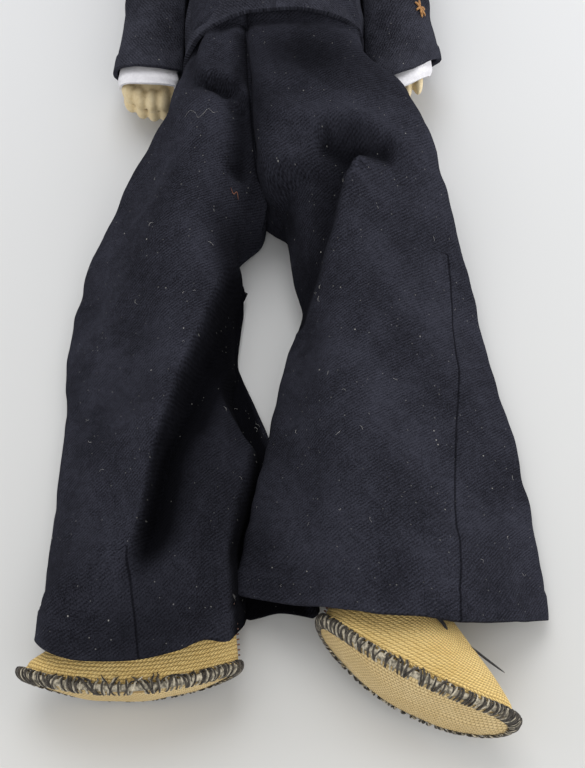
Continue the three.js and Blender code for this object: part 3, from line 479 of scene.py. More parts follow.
def evenly(rows, columns, closed=True):
    """Rows of points, moved so that each row is evenly spaced along its length."""
    if closed:
        rows = np.concatenate([rows, rows[:, :1]], 1)
    length = around(rows)
    at = [np.linspace(0, whole, columns, endpoint=not closed) for whole in length[:, -1]]
    return np.array([[np.interp(at[i], length[i], side) for side in row.T]
                     for i, row in enumerate(rows)]).transpose(0, 2, 1)


def squarish(angle, exponent):
    """The cosine and sine of an angle, drawn out towards a square."""
    return [np.sign(v) * np.abs(v) ** (2 / exponent) for v in (np.cos(angle), np.sin(angle))]


def hull_rows(circles, columns):
    """Rows of points round sets of circles (x, z, r), as cloth drawn round them lies, evenly spaced from
    the point that is inwards and down from the middle of each row."""
    angle = np.arange(720) * math.tau / 720
    way = np.stack([-np.cos(angle), np.sin(angle)], 1)
    reach = (circles[:, None, :, :2] @ way[None, :, :, None])[..., 0] + circles[:, None, :, 2]
    picked = circles[np.arange(len(circles))[:, None], reach.argmax(2)]
    hull = picked[..., :2] + picked[..., 2:] * way[None]
    hull = np.concatenate([hull, hull[:, :1]], 1)
    length = around(hull)
    out = np.empty((len(hull), columns, 2))
    for i, row in enumerate(hull):
        places = np.linspace(0, length[i, -1], 2000)
        rel = np.stack([np.interp(places, length[i], side) for side in row.T],
                       1) - (row.min(0) + row.max(0)) / 2
        turn = np.unwrap(np.arctan2(rel[:, 1], rel[:, 0]))
        goal = turn[-1] + (-0.75 * math.pi - turn[-1]) % math.tau
        start = np.interp(-goal, -turn, places)
        at = (start + length[i, -1] * np.arange(columns) / columns) % length[i, -1]
        out[i] = np.stack([np.interp(at, length[i], side) for side in row.T], 1)
    return out


# Trousers: places are measured from the hip, 0, to the hem, 1, and widths from the centre plane.
LEGS = {
    "right": dict(
        side=-1, foot_x=41, foot_room=14.7, hem_y=-194.5, hem_droop=0.53, inner_low_z=0.0,
        limb_x=[(-0.33, 13), (-0.15, 13.6), (0, 15.6), (0.12, 16.8), (0.16, 20), (0.23, 23.6),
                (0.53, 23.3), (0.8, 20),
                (1, 18)],
        limb_r=[(-0.33, 10), (-0.15, 10.4), (0, 13.2), (0.16, 12.9), (0.38, 11.6), (0.6, 10.6),
                (0.85, 8.6), (0.95, 8)],
        limb_top=[(-0.33, 38.6), (-0.15, 38.6), (0, 39.6), (0.07, 38.5), (0.16, 33), (0.3, 28.5),
                  (0.5, 25), (0.95, 25)],
        limb_low=[(0, 1.7), (0.7, 1.7), (0.95, 9)],
        inner=[(-0.33, 9), (-0.18, 8.2), (0.02, 6.3), (0.125, 3.4), (0.155, 1.4), (0.185, 2.2),
               (0.21, 6), (0.235, 9),
               (0.27, 8.6), (0.34, 8.4), (0.38, 9), (0.53, 10.6), (0.6, 8.4), (0.7, 5), (0.82, 7.2),
               (1, 10.5)],
        inner_low=[(-0.33, 9), (-0.18, 8.2), (0.02, 6.3), (0.125, 3.8), (0.155, 2), (0.185, 3),
                   (0.21, 6.6), (0.235, 9.4),
                   (0.38, 9.4), (0.45, 9.7), (0.486, 8.1), (0.54, 4.7), (0.618, 0.3), (0.68, -2),
                   (0.72, -3), (0.86, -5),
                   (0.95, -9), (1, -12)],
        outer=[(-0.33, 23.6), (-0.15, 24), (-0.074, 26.7), (0.068, 36.5), (0.243, 51.6), (0.33, 55),
               (0.406, 56.8),
               (0.52, 56.4), (0.632, 55.4), (0.819, 56.5), (1, 57.3)],
        inner_top=[(-0.33, 40), (0, 41.4), (0.1, 37), (0.155, 25), (0.19, 16), (0.3, 15), (0.6, 11), (1, 9)],
        outer_top=[(-0.33, 30), (-0.15, 31), (0, 34), (0.1, 27), (0.25, 13), (0.5, 8), (1, 6.4)],
        hem_rise=[(-12, 1), (-2.3, 2.4), (6, 0.8), (13.8, 3.6), (20.3, 1.2), (28, -0.7), (37, -1.7),
                  (45, -1.4),
                  (52, -0.3), (58, 0.9)],
    ),
    "left": dict(
        side=1, foot_x=40, foot_room=14.0, hem_y=-193.5, hem_droop=0.26, inner_low_z=3.2,
        limb_x=[(-0.33, 12.6), (-0.15, 14.6), (0, 17), (0.13, 18.6), (0.32, 22.4), (0.46, 21),
                (0.6, 20), (0.8, 21.5),
                (1, 25.5)],
        limb_r=[(-0.33, 10), (-0.15, 11), (0, 14), (0.16, 13.4), (0.38, 11.8), (0.6, 10.6), (0.85, 8.6),
                (0.95, 8)],
        limb_top=[(-0.33, 38.6), (-0.15, 38.6), (0, 39.6), (0.07, 39), (0.16, 34), (0.3, 29),
                  (0.5, 25.5), (0.95, 23)],
        limb_low=[(0, 1.7), (0.7, 1.7), (0.95, 7)],
        inner=[(-0.33, -8.6), (-0.18, -7.6), (0.02, -5.7), (0.125, -4.2), (0.15, -2.2), (0.17, 2.4),
               (0.2, 3.6),
               (0.265, 4.9), (0.3, 5.8), (0.345, 7.6), (0.365, 8.1), (0.385, 7.6), (0.42, 6),
               (0.465, 3.9), (0.604, 0),
               (0.694, -1.9), (0.944, -7.8), (1, -8.6)],
        inner_low=[(-0.33, -8.6), (-0.18, -7.6), (0.02, -5.7), (0.125, -4.2), (0.15, -1), (0.17, 3),
                   (0.21, 6), (0.32, 9),
                   (0.465, 7), (0.604, 2), (0.8, -3), (1, -8)],
        outer=[(-0.33, 24.2), (-0.2, 24.6), (-0.17, 27.4), (-0.135, 33.6), (-0.05, 40.4), (0.107, 48.5),
               (0.278, 54.3),
               (0.45, 60), (0.63, 65), (0.86, 68.4), (1, 69.2)],
        inner_top=[(-0.33, 40), (0, 41.4), (0.12, 38.5), (0.15, 34), (0.17, 22), (0.2, 17), (0.3, 17),
                   (0.6, 13), (1, 10)],
        outer_top=[(-0.33, 30), (-0.18, 31), (0, 34), (0.12, 27), (0.3, 13), (0.5, 8), (1, 6.4)],
        hem_rise=[(-8.5, 6.5), (2, 4), (12.5, 2.6), (24, 0.8), (35, 0), (45, -1.3), (56, -0.8), (68, 0)],
    ),
}
INNER_R = through([(-0.33, 3.4), (0.1, 3.4), (0.17, 5), (0.3, 4), (0.5, 3.2), (1, 2.2)])
OUTER_R = through([(-0.33, 9), (0.1, 7.5), (0.25, 4.4), (0.5, 3.2), (1, 2.4)])
EASE = through([(0.5, 1.7), (0.8, 4.1), (1, 5.3)])
LEG_ROWS, LEG_COLUMNS = 244, 172
TROUSER_HEM, TROUSER_STITCH, FLAT_Z = 6.9, 5.4, 0.15


# Folds are lines on the table's plane, in millimetres. Each gives the height that it adds and the painted
# shade that it lays on the cloth.
def near_line(corners, x, y, fade):
    """Distances from a line, and how much of a fold is left where it fades out towards the line's ends."""
    away, share = beside(spline(corners), x, y)
    start, end = fade
    return away, (smoothstep(share, 0,
                             start) if start else 1) * (1 - smoothstep(share, 1 - end, 1) if end else 1)


def ridge(height, width, *corners, shade=0.0, fade=(0.16, 0.16)):
    """A soft bump, or a dip, along a line, with painted shade along it where a shade is given."""
    def fold(x, y):
        away, ends = near_line(corners, x, y, fade)
        return height * bell(away, width) * ends, shade * bell(away, width) * ends
    return fold


def drop(depth, width, reach, lip, side, *corners, shade=0.0, fade=(0.16, 0.16)):
    """Cloth that rolls over a line and falls away on one side of it, with painted shade on the side that falls
    away.
    """
    def fold(x, y):
        away, ends = near_line(corners, x, y, fade)
        fall = away * side
        past = np.maximum(fall, 0)
        down = smoothstep(fall, -0.3 * width, width) * np.exp(-(past / reach) ** 1.5)
        height = lip * bell(fall + width, 1.6 * width) - depth * down
        return height * ends, shade * ends * smoothstep(fall, -1.4, 0.9) * bell(past, reach)
    return fold


FOLDS = {
    "right": [
        ridge(-2.6, 2.6, (-30, -37.5), (-20, -36), (-12, -34), (-4, -33), fade=(0, 0)),
        drop(4.6, 1.5, 5, 1.4, -1, (-19, -32), (-21.2, -40.7), (-21.4, -48.2), (-20.2, -53.6), (-17.4, -54.8),
             (-13.9, -56.2), (-9.9, -59), (-7.7, -63), (-6.6, -67), shade=0.4, fade=(0.05, 0.14)),
        ridge(-1.4, 2.0, (-18.6, -55), (-15, -57.4), (-11.6, -60.6)),
        ridge(-3.4, 3.6, (-9.2, -61), (-8.2, -69), (-8.6, -76.6), (-10.4, -84), shade=0.85),
        ridge(-0.8, 3.0, (-8.6, -36), (-8.4, -48), (-9, -62), shade=0.75),
        drop(15, 3.2, 13, 1.0, 1, (-2.5, -84), (-6.5, -94), (-10, -102.9), (-13.8, -113), (-17.5, -125.3),
             (-22.3, -137.6), (-25.6, -149), (-29, -160), (-31.2, -173.9), (-33.3, -183.3), (-36, -192),
             shade=0.95, fade=(0.16, 0.15)),
        ridge(1.8, 3.4, (-51.7, -146), (-49, -156), (-45.1, -167.7), (-40, -182), (-37, -192)),
        ridge(-1.1, 4.5, (-46, -118), (-33, -128), (-24, -139)),
        ridge(1.8, 5, (-20, -150), (-23, -172), (-20, -198)),
        ridge(-1.4, 4, (-8, -178), (-10, -190), (-12, -204)),
        ridge(0.9, 6, (-28, -70), (-34, -84), (-38, -98)),
    ],
    "left": [
        ridge(-2.0, 2.6, (-8, -33), (4, -32.6), (14, -32.6), (21, -32.4), (30, -30), fade=(0, 0)),
        ridge(-1.2, 3.4, (-3.8, -59.6), (2.1, -59), (9.9, -57), shade=0.4),
        ridge(-0.9, 2.2, (5.5, -36), (6.5, -45.3), (8.8, -53)),
        ridge(2.6, 3.8, (-3, -68), (4, -68.6), (11.9, -69.4), (19.7, -69.2), (25.6, -70), (31.5, -72),
              (37.6, -73),
              (43, -72)),
        ridge(-3.8, 2.9, (11, -73), (17, -75), (23, -76), (29, -75.6), (35, -75), shade=0.8),
        drop(6.6, 1.8, 12, 1.2, -1, (27.5, -76.5), (23.4, -79.2), (21.5, -83), (19.5, -89.1), (16.5, -99.4),
             (13.1, -109.9), (9.8, -118.6), (8, -123), fade=(0.14, 0.1)),
        ridge(1.0, 4, (5, -76), (4, -90), (6, -104)),
        ridge(0.9, 7, (30, -84), (34, -104), (36, -128)),
        ridge(-1.0, 6, (14, -140), (12, -165), (8, -192)),
        ridge(0.8, 7, (32, -150), (30, -176), (28, -200)),
    ],
}
# Where the right leg's cloth lies flat under the left leg, to the left of this line.
UNDER_FLAP = [(-9.2, -123), (-9.9, -128), (-10.8, -139), (-8.8, -145.2), (-6.4, -149.6), (-3.6, -154),
              (-4, -163),
              (-6.2, -174.5), (-8, -184), (-7.4, -190), (-7, -196), (-6.8, -204), (-6.8, -216)]
CENTRE_SEAM = [(-8, -33.5), (-7.2, -50.3), (-6.1, -63.7), (-4.6, -78.5), (-2.8, -81.4), (-0.2, -84.6)]
SEAMS = {
    "right": [[(-33.6, -181), (-33.2, -184.9), (-30.3, -196.7), (-27.3, -217)],
              [(0, -77), (-0.9, -81.1), (-2.4, -87.1), (-6.3, -97.8)], CENTRE_SEAM],
    "left": [[(49, -98), (49.2, -102.4), (49.8, -115), (48.3, -147.6), (46.3, -173.6), (44, -206)],
             CENTRE_SEAM],
}
# Places on the trousers that little light reaches: a centre, its spread both ways, and how deep it is.
DIM = {
    "right": [((-6.5, -70), (3.6, 17), 0.8), ((-4, -46), (7, 14), 0.5), ((-27, -199), (22, 17), 0.62),
              ((-15, -180), (7, 26), 0.55), ((-13, -100), (4, 14), 0.5)],
    "left": [((10, -46), (22, 11), 0.78), ((-4, -62), (4, 20), 0.62), ((6, -88), (8, 10), 0.45),
             ((22, -74), (9, 4), 0.6)],
}


def softer_of(value, limit, blend=0.5):
    """The smaller of two numbers, with a rounded corner where they meet."""
    over = (value - limit) / blend
    return value - blend * np.where(over > 30, over, np.log1p(np.exp(np.minimum(over, 30))))


def height_over(x, row, facing, **beyond):
    """The height of the upper side of a row of points over places across it."""
    upper = row[facing[:, 2] > 0]
    upper = upper[np.argsort(upper[:, 0])]
    return np.interp(x, upper[:, 0], upper[:, 2], **beyond)


def flap_limit(x, y):
    """How high the right leg's cloth may be where the left leg lies over it."""
    away, share = beside(spline(UNDER_FLAP, 90), x, y)
    steep = np.interp(y, [-180, -150], [8, 4.5])
    return 3.0 + steep * np.maximum(-away, 0) + 60 * (1 - smoothstep(share, 0.0, 0.07))


def trouser_outline(leg, along):
    """Rows round one leg as the cloth hangs over the limb, the foot and its own edges, before any folds."""
    curve = {key: through(value)(along) for key, value in leg.items() if isinstance(value, list)}
    limb_x, radius, inside, outside = curve["limb_x"], curve["limb_r"], INNER_R(along), OUTER_R(along)
    near_foot = smoothstep(along, 0.62, 0.96)
    foot = radius + (leg["foot_room"] - radius) * near_foot
    grown = radius + EASE(along)
    low = np.maximum(curve["limb_low"] + radius, grown)
    high = np.maximum(curve["limb_top"] - radius, low)
    flap = leg["inner_low_z"] * smoothstep(along, 0.75, 0.95)
    inner_r = np.minimum(inside, 1.4 + 20 * np.abs(along - 0.6))
    edge = curve["outer"] - outside
    circles = ((limb_x, low, grown), (limb_x, high, grown), (curve["inner_low"] + inner_r,
                                                             flap + inner_r, inner_r),
               (curve["inner"] + inside, np.maximum(curve["inner_top"] - inside, inside), inside),
               (edge, outside, outside), (edge, np.maximum(curve["outer_top"] - outside, outside), outside),
               (limb_x * (1 - near_foot) + leg["foot_x"] * near_foot, foot, foot))
    return hull_rows(np.stack([np.stack(circle, 1) for circle in circles], 1), LEG_COLUMNS)


def trouser_leg(name, leg):
    along = np.linspace(TROUSER_TOP, 1, LEG_ROWS)
    flat = trouser_outline(leg, along)
    x, z = leg["side"] * flat[..., 0], flat[..., 1]
    y = np.broadcast_to((HIP_Y - along * TROUSER_LENGTH)[:, None], x.shape)
    points = vec(x, y, z)
    normals = outward_of(points)
    over = normals[..., 2] > 0.2
    u = around(points)
    before = np.array([height_over(np.clip(row[:, 0], row[:, 0].min() + 0.7, row[:, 0].max() - 0.7),
                                   row, facing)
                       for row, facing in zip(points, normals)])
    heights, darks = zip(*(fold(x, y) for fold in FOLDS[name]))
    shown = smoothstep(-y, 22, 31)
    top = np.maximum(before + sum(heights) * shown, np.minimum(before, 3))
    if name == "right":
        top = softer_of(top, flap_limit(x, y))
    wrinkles = 0.5 * ripples(points, 26, 3 + leg["side"]) + 0.16 * ripples(points, 9, 7 + leg["side"])
    points[..., 2] *= top / np.maximum(before, 1)
    # Painted shade for the cloth's colour: where the cloth is pressed down, beside the folds and at the DIM
    # places.
    pressed = np.clip((before - top - 0.6) / np.minimum(8, 0.4 * before + 0.5), 0, 1)
    dim = [depth * np.exp(-((x - cx) / wide) ** 2 - ((y - cy) / tall) ** 2)
           for (cx, cy), (wide, tall), depth in DIM[name]]
    painted_shade = np.max([pressed, *darks, *dim], axis=0)
    normals = outward_of(points)
    points += normals * (wrinkles * shown * smoothstep(z, 1.5, 5) * (1 - 0.9 * painted_shade))[..., None]

    z = points[..., 2]
    drape = (leg["hem_y"] - (HIP_Y - TROUSER_LENGTH) + through(leg["hem_rise"])(flat[..., 0])
             - leg["hem_droop"] * z)
    points[..., 1] += smoothstep(along, 0.6, 1)[:, None] * (drape - 4.5 * smoothstep(z, 0, 5))
    to_hem = (1 - along)[:, None] * TROUSER_LENGTH
    turned = 1 - smoothstep(to_hem, TROUSER_HEM - 0.5, TROUSER_HEM + 0.7)
    dimple = bell(to_hem - TROUSER_HEM, 0.8) * (0.5 + 0.5 * np.cos(math.tau * u / TROUSER_STITCH))
    points += normals * (0.5 * turned - 0.42 * dimple)[..., None]
    points[..., 2] = np.maximum(points[..., 2], FLAT_Z)

    seam = np.full(x.shape, 9.0)
    for line in SEAMS[name]:
        away, share = beside(spline(line), x, y)
        away = np.where((share > 0) & (share < 1), away, np.abs(away))
        seam = np.where((normals[..., 2] > 0) & (np.abs(away) < np.abs(seam)), away, seam)
    middle = [np.interp(at, row[keep], u[i, keep]) for i, (at, row, keep)
              in enumerate(zip(through(leg["limb_x"])(along), flat[..., 0], over))]
    weave = vec(leg["side"] * (u - np.array(middle)[:, None]), -along[:, None] * TROUSER_LENGTH, 0)
    nodes = [f"trouser_leg_{name}"] + ["trouser_seat"] * (name == "right")
    made = cloth(f"trousers_{name}", points, WOOL, NAVY, None, nodes,
                 weave=weave, seam=seam, painted_shade=painted_shade, edge=0.4)
    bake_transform(made)
    return points, normals


TROUSER_GRIDS = {name: trouser_leg(name, leg) for name, leg in LEGS.items()}


# Stuffed pieces inside the clothes

def under_cloth(points, grids, room):
    """Points moved in and down so that each is at least a room under the cloth that lies over it."""
    across = np.linspace(-60, 74, 269)
    limit = np.full(len(points), -1.0)
    low_x, high_x = np.full(len(points), 99.0), np.full(len(points), -99.0)
    for cloth_points, normals in grids:
        places = cloth_points[..., 1].mean(1)
        heights = np.array([height_over(across, row, facing, left=0, right=0)
                            for row, facing in zip(cloth_points, normals)])
        lowest = np.min([np.roll(heights, shift, 1) for shift in range(-5, 6)], axis=0)
        lowest[4:-4] = np.min([np.roll(lowest, shift, 0) for shift in range(-4, 5)], axis=0)[4:-4]
        row = np.interp(-points[:, 1], -places, np.arange(len(places))).round().astype(int)
        column = ((points[:, 0] - across[0]) / (across[1] - across[0])).round().astype(int)
        limit = np.maximum(limit, lowest[row, column])
        low_x = np.minimum(low_x, cloth_points[row, :, 0].min(1))
        high_x = np.maximum(high_x, cloth_points[row, :, 0].max(1))
        side = np.sign(cloth_points[..., 0].mean())
        for i in np.unique(row):
            outline = cloth_points[i][:, [0, 2]]
            middle = (outline.min(0) + outline.max(0)) / 2
            out = outline - middle
            here = np.flatnonzero((row == i) & ((points[:, 0] - middle[0]) * side > 0))
            rel = points[here][:, [0, 2]] - middle
            most = np.interp(np.arctan2(rel[:, 1], rel[:, 0]), np.arctan2(out[:, 1], out[:, 0]),
                             np.linalg.norm(out, axis=1), period=math.tau)
            factor = (most - 1.4 * room) / np.maximum(np.linalg.norm(rel, axis=1), 0.1)
            points[here[:, None], [0, 2]] = middle + rel * np.clip(factor, 0.1, 1)[:, None]
    points[:, 0] = np.clip(points[:, 0], low_x + room, high_x - room)
    points[:, 2] = np.minimum(points[:, 2], np.maximum(limit - room, 1.5))
    return points


def stuffed(name, node, body, shrink, voxel, passes=6, inside_x=(-99, 99), under=()):
    """A rounded body of cotton and wadding in the form of the model's own node."""
    made = softened(linked(name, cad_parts[node].data.copy()), voxel, passes)
    points, normals = (np.array([getattr(v, key) for v in made.data.vertices],
                                float) for key in ("co", "normal"))
    points = points / MM - normals * shrink
    points[:, 0] = np.clip(points[:, 0], *inside_x)
    if under:
        covered = points[:, 1] < -22
        near_hip = 1 - 0.12 * smoothstep(-points[:, 1], 40, 56) * smoothstep(points[:, 1], -84, -70)
        points[:, 2] = AXIS_Z + (points[:, 2] - AXIS_Z) * near_hip
        points[covered] = under_cloth(points[covered], under, WOOL + 0.7)
    made.data.vertices.foreach_set("co", (points * MM).ravel())
    made.data.update()
    pad(made, body, node)


stuffed("stuffed_torso", "torso_stuffing", "trunk", 0.9, 2.2, inside_x=(-24.6, 24.6),
        under=list(TROUSER_GRIDS.values()))
for side_name, leg in LEGS.items():
    body = f"{side_name}_leg"
    stuffed(f"stuffed_leg_{side_name}", f"leg_{side_name}", body, 1.2, 2.0, under=[TROUSER_GRIDS[side_name]])
    stuffed(f"stuffed_foot_{side_name}", f"foot_{side_name}", body, 0.9, 1.2, passes=4)
    inside_x = sorted((leg["side"] * (ARM_SIDE + 1.6), leg["side"] * 90))
    stuffed(f"stuffed_arm_{side_name}", f"arm_{side_name}", f"{side_name}_arm", 0.5, 1.5, inside_x=inside_x)


# Jumper, collar and shirt, all drawn round the trunk

BODY_WIDTH = through([(-60, 25.4), (-32, 26.6), (4, 25.0), (50, 26.8), (64, 27.2), (73, 26), (79, 20.5),
                      (85, 13.5)])
BODY_FRONT = through([(-32, 43), (4, 41.5), (50, 43), (70, 39), (85, 35)])
BODY_BACK = through([(37, 0), (47, 1.8), (64, 1.8), (70, 2.0), (85, 7)])
JUMPER_HEM = through([(-26.9, -36.6), (-24, -36), (-19.3, -35.2), (-12.2, -33.8), (-6.6, -32.6), (2, -32),
                      (14.2, -32), (21.4, -31.8), (25.3, -30.2), (26.9, -29.2)])
HEM_Y = -32
VEE_Y, VEE_TOP = NECKLINE_Y - V_DEPTH, NECKLINE_Y + 4


def body_point(angle, y, grow=0.0):
    """A place on the jumper. The angle runs from 0 at the middle of the chest round the left side."""
    up, out = squarish(angle, 2.7)
    low, high = BODY_BACK(y) - 1, BODY_FRONT(y)
    x = np.clip((BODY_WIDTH(y) + grow) * out, -BODY_SIDE - grow, BODY_SIDE + grow)
    z = np.maximum((low + high) / 2 + ((high - low) / 2 + grow) * up, BODY_BACK(y) - grow)
    return vec(x, y, z)


def angle_of(x, y):
    """The angle round the chest at a distance from the centre plane."""
    return np.arcsin(np.clip(x / BODY_WIDTH(y), 0, 1) ** 1.35)


def vee_angle(y):
    """Where the neck opening's edge is."""
    return angle_of(np.maximum(y - VEE_Y, 0) * V_HALF_WIDTH / (VEE_TOP - VEE_Y), y)


def hem_relief(to_hem, u, fold, stitch, lift, dent):
    """How far a turned and stitched hem stands out, with its fold so far from the edge."""
    turned = 1 - smoothstep(to_hem, fold - 0.5, fold + 0.5)
    return lift * turned - dent * bell(to_hem - fold, 0.7) * (0.6 + 0.4 * np.cos(math.tau * u / stitch))


def make_jumper():
    y = np.linspace(HEM_Y, NECKLINE_Y, 140)[:, None]
    start = vee_angle(y)
    angle = start + np.linspace(0, 1, 1400)[None] * 2 * (math.pi - start)
    points = evenly(body_point(angle, y), 196, closed=False)
    u = around(points)
    u = u - u[:, -1:] / 2
    raised = 0.55 * ripples(points, 26, 21) + 0.14 * ripples(points, 8, 22)
    relief = raised * smoothstep(points[..., 2], 1.5,
                                 5) + hem_relief(points[..., 1] - HEM_Y, u, 6.1, 4.6, 0.4, 0.35)
    points = points + outward_of(points, False) * relief[..., None]
    front = smoothstep(points[..., 2], 8, 22)
    hem_y = JUMPER_HEM(points[..., 0]) * front - 34 * (1 - front)
    points[..., 1] += (1 - smoothstep(points[..., 1], HEM_Y, 2)) * (hem_y - HEM_Y)
    points[..., 0] = np.clip(points[..., 0], -27.1, 27.1)
    points[..., 2] = np.maximum(points[..., 2], 0.1)
    cloth("jumper_cloth", points, WOOL, JUMPER_WOOL, "trunk", ["jumper_body"],
          weave=vec(u, points[..., 1], 0), round_columns=False, merge=True,
          seam=np.abs(np.abs(u) - np.abs(u).max(1, keepdims=True) / 2))


def make_shirt():
    y = np.linspace(-20, NECKLINE_Y + 1.4, 84)[:, None]
    angle = np.linspace(0, math.tau, 900)[None]
    points = evenly(body_point(angle, y, -2.7), 120)
    band = smoothstep(points[..., 1], NECKLINE_Y - 2.6, NECKLINE_Y - 2.0)
    lift = 0.45 * band + 0.12 * ripples(points, 9, 31)
    points += unit(points - points.mean(1, keepdims=True)) * lift[..., None]
    cloth("shirt_cloth", points, LINEN, SHIRT_COTTON, "trunk", ["shirt_front"],
          edge=0.2)


def make_collar():
    share = np.linspace(0, 3, 190)
    neck_y = np.interp(share, [0, 1.2], [VEE_Y + 0.3, NECKLINE_Y - 0.4])
    corner = float(vee_angle(np.array(NECKLINE_Y - 0.4)))
    inner = np.where(share < 1.2, vee_angle(neck_y), np.interp(share, [1.2, 3], [corner, math.pi]))
    front_x, front_y = (np.interp(share, [0, 1, 1.2], v) for v in ([0, 15.5, 17.2], [46, 72, 78]))
    back_x, back_y = (np.interp(share, [1.8, 2.3, 3], v) for v in ([17.5, 18, 0], [76, 53, 53]))
    turn = np.interp(share, [1.2, 1.8], [0, 1])
    outer = angle_of(front_x, front_y) * (1 - turn) + (math.pi - angle_of(back_x, back_y)) * turn
    outer_y = front_y * (1 - turn) + back_y * turn + 3.0 * np.sin(math.pi * turn)
    across = np.linspace(0, 1, 46)[:, None]
    angle, y = inner + across * (outer - inner), neck_y + across * (outer_y - neck_y)
    angle = np.concatenate([-angle[:, ::-1], angle[:, 1:]], 1)
    y = np.concatenate([y[:, ::-1], y[:, 1:]], 1)
    flat = body_point(angle, y, 1.75)
    roll = 0.5 * bell(across, 0.16) + 0.25 * smoothstep(across, 0.8, 1)
    points = body_point(angle, y, 1.75 + roll + 0.16 * ripples(flat, 12, 41) * smoothstep(flat[..., 2], 1, 5))
    points[..., 2] = np.maximum(points[..., 2], 0.08)
    edge = (1 - across) * np.linalg.norm(points[-1] - points[0], axis=1)
    cloth("collar_cloth", points, 1.15, JUMPER_WOOL, "trunk", ["jumper_collar"],
          weave=vec(points[..., 0], points[..., 1] + points[..., 2], 0),
          seam=np.abs(edge - 2.0), round_columns=False,
          outside=body_point(angle, y, 3) - body_point(angle, y, 0))


make_jumper()
make_shirt()
make_collar()


# Sleeves, cuffs and hands

SLEEVE_TOP = through([(0, 35.5), (30, 33), (64, 28.5), (95, 25)])
SLEEVE_LOW = through([(0, 6.5), (30, 2.6), (64, 0.6), (95, 0.4)])
ARMS = {
    "right": dict(side=-1, x=[(0, 32), (64, 35.2), (95, 37.2)], slant=0.5, droop=12.8),
    "left": dict(side=1, x=[(0, 33), (64, 36.4), (95, 37.7)], slant=6.5, droop=17),
}


def sleeve_rows(arm, along, columns, inset=0.0):
    """Rows of points round a sleeve, flat on the side of the body and domed over the shoulder."""
    along = np.asarray(along, float)[:, None]
    c, s = squarish(np.linspace(0, math.tau, 1000)[None], 2.35)
    at = np.maximum(along, 0)
    middle, half = (SLEEVE_TOP(at) + SLEEVE_LOW(at)) / 2, (SLEEVE_TOP(at) - SLEEVE_LOW(at)) / 2
    centre, wall = through(arm["x"])(at), ARM_SIDE + inset
    x = np.maximum(centre + (SLEEVE_HALF_WIDTH - inset) * c, wall)
    cap = np.sqrt(np.clip(1 - (np.minimum(along, 0) / SLEEVE_CAP) ** 2, 0, 1))
    x = wall + (x - wall) * cap ** 0.8
    z = middle + (half - inset) * s * cap
    near_hem = smoothstep(along, 0.6 * SLEEVE_LENGTH, SLEEVE_LENGTH)
    slant = arm["slant"] * (x - centre) / SLEEVE_HALF_WIDTH
    droop = arm["droop"] * (z - middle) / (2 * half)
    y = SHOULDER_Y - along + near_hem * (slant - droop + 0.5)
    return evenly(vec(arm["side"] * x, y, z), columns)


def beyond_side(points, side, wall, floor):
    """Points kept off the side of the body and off the table."""
    points[..., 0] = side * np.maximum(np.abs(points[..., 0]), wall)
    points[..., 2] = np.maximum(points[..., 2], floor)
    return points


def make_sleeve(name, arm):
    cap = -SLEEVE_CAP * np.cos(np.linspace(0, math.pi / 2, 15))[:-1]
    along = np.concatenate([cap, np.linspace(0, SLEEVE_LENGTH, 112)])
    points = sleeve_rows(arm, along, 124)
    u, along = around(points), along[:, None]
    raised = 0.5 * ripples(points, 24, 50 + arm["side"]) + 0.14 * ripples(points, 8, 53 + arm["side"])
    elbow = bell(along - 50, 16) * np.sin(along * 0.62 + points[..., 2] * 0.12)
    free = smoothstep(np.abs(points[..., 0]), ARM_SIDE + 0.6,
                      ARM_SIDE + 4) * smoothstep(points[..., 2], 0.8, 4)
    free = free * smoothstep(along, -SLEEVE_CAP, -SLEEVE_CAP + 5)
    relief = (raised + 0.35 * elbow) * free + hem_relief(SLEEVE_LENGTH - along, u, 5.9, 4.8, 0.35, 0.3)
    points = beyond_side(points + outward_of(points) * relief[..., None], arm["side"], ARM_SIDE, 0.12)
    cloth(f"sleeve_cloth_{name}", points, WOOL, JUMPER_WOOL, f"{name}_arm", [f"sleeve_{name}"],
          weave=vec(u, -along, 0), merge=True,
          seam=np.minimum(u, u.max(1, keepdims=True) - u) + 3.0)
    return points


def make_cuff(name, arm):
    inside = sleeve_rows(arm, np.linspace(SLEEVE_LENGTH - 12, SLEEVE_LENGTH, 26), 110, inset=1.75)
    shows = np.linspace(0.25, 5.4, 22)[:, None]
    flare = 0.3 * smoothstep(shows, 0, 3) - 0.6 * smoothstep(shows, 3, 5.4)
    last, out = inside[-1][None], outward_of(inside)[-1][None]
    shown = shows * (0.25 + 0.75 * smoothstep(last[..., 2], 3, 13))
    points = np.concatenate([inside, last + out * flare[..., None] - np.array([0, 1, 0]) * shown[..., None]])
    points += outward_of(points) * (0.16 * ripples(points, 11, 61 + arm["side"]))[..., None]
    cloth(f"cuff_cloth_{name}", beyond_side(points, arm["side"], ARM_SIDE + 0.3, 0.25), 0.8, SHIRT_COTTON,
          f"{name}_arm", [f"cuff_{name}"], edge=0.25)


def blob(name, parts, voxel, passes):
    """One soft closed body from ellipsoids, each with a centre, three radii and a turn about Z and X."""
    rows, columns = 20, 28
    polar, turn = np.linspace(0, math.pi, rows)[:, None], np.arange(columns) * math.tau / columns
    ball = vec(np.sin(polar) * np.cos(turn), np.sin(polar) * np.sin(turn), np.cos(polar)).reshape(-1, 3)
    points = []
    for centre, radii, about_z, about_x in parts:
        cz, sz, cx, sx = math.cos(about_z), math.sin(about_z), math.cos(about_x), math.sin(about_x)
        leaned = ball * radii @ np.array([[1, 0, 0], [0, cx, sx], [0, -sx, cx]])
        points.append(leaned @ np.array([[cz, sz, 0], [-sz, cz, 0], [0, 0, 1]]) + centre)
    faces = np.concatenate([grid_faces(rows, columns) + i * len(ball) for i in range(len(parts))])
    made = mesh_object(name, np.concatenate(points), faces)
    return softened(applied(made, WELD=dict(merge_threshold=0.001 * MM)), voxel, passes)


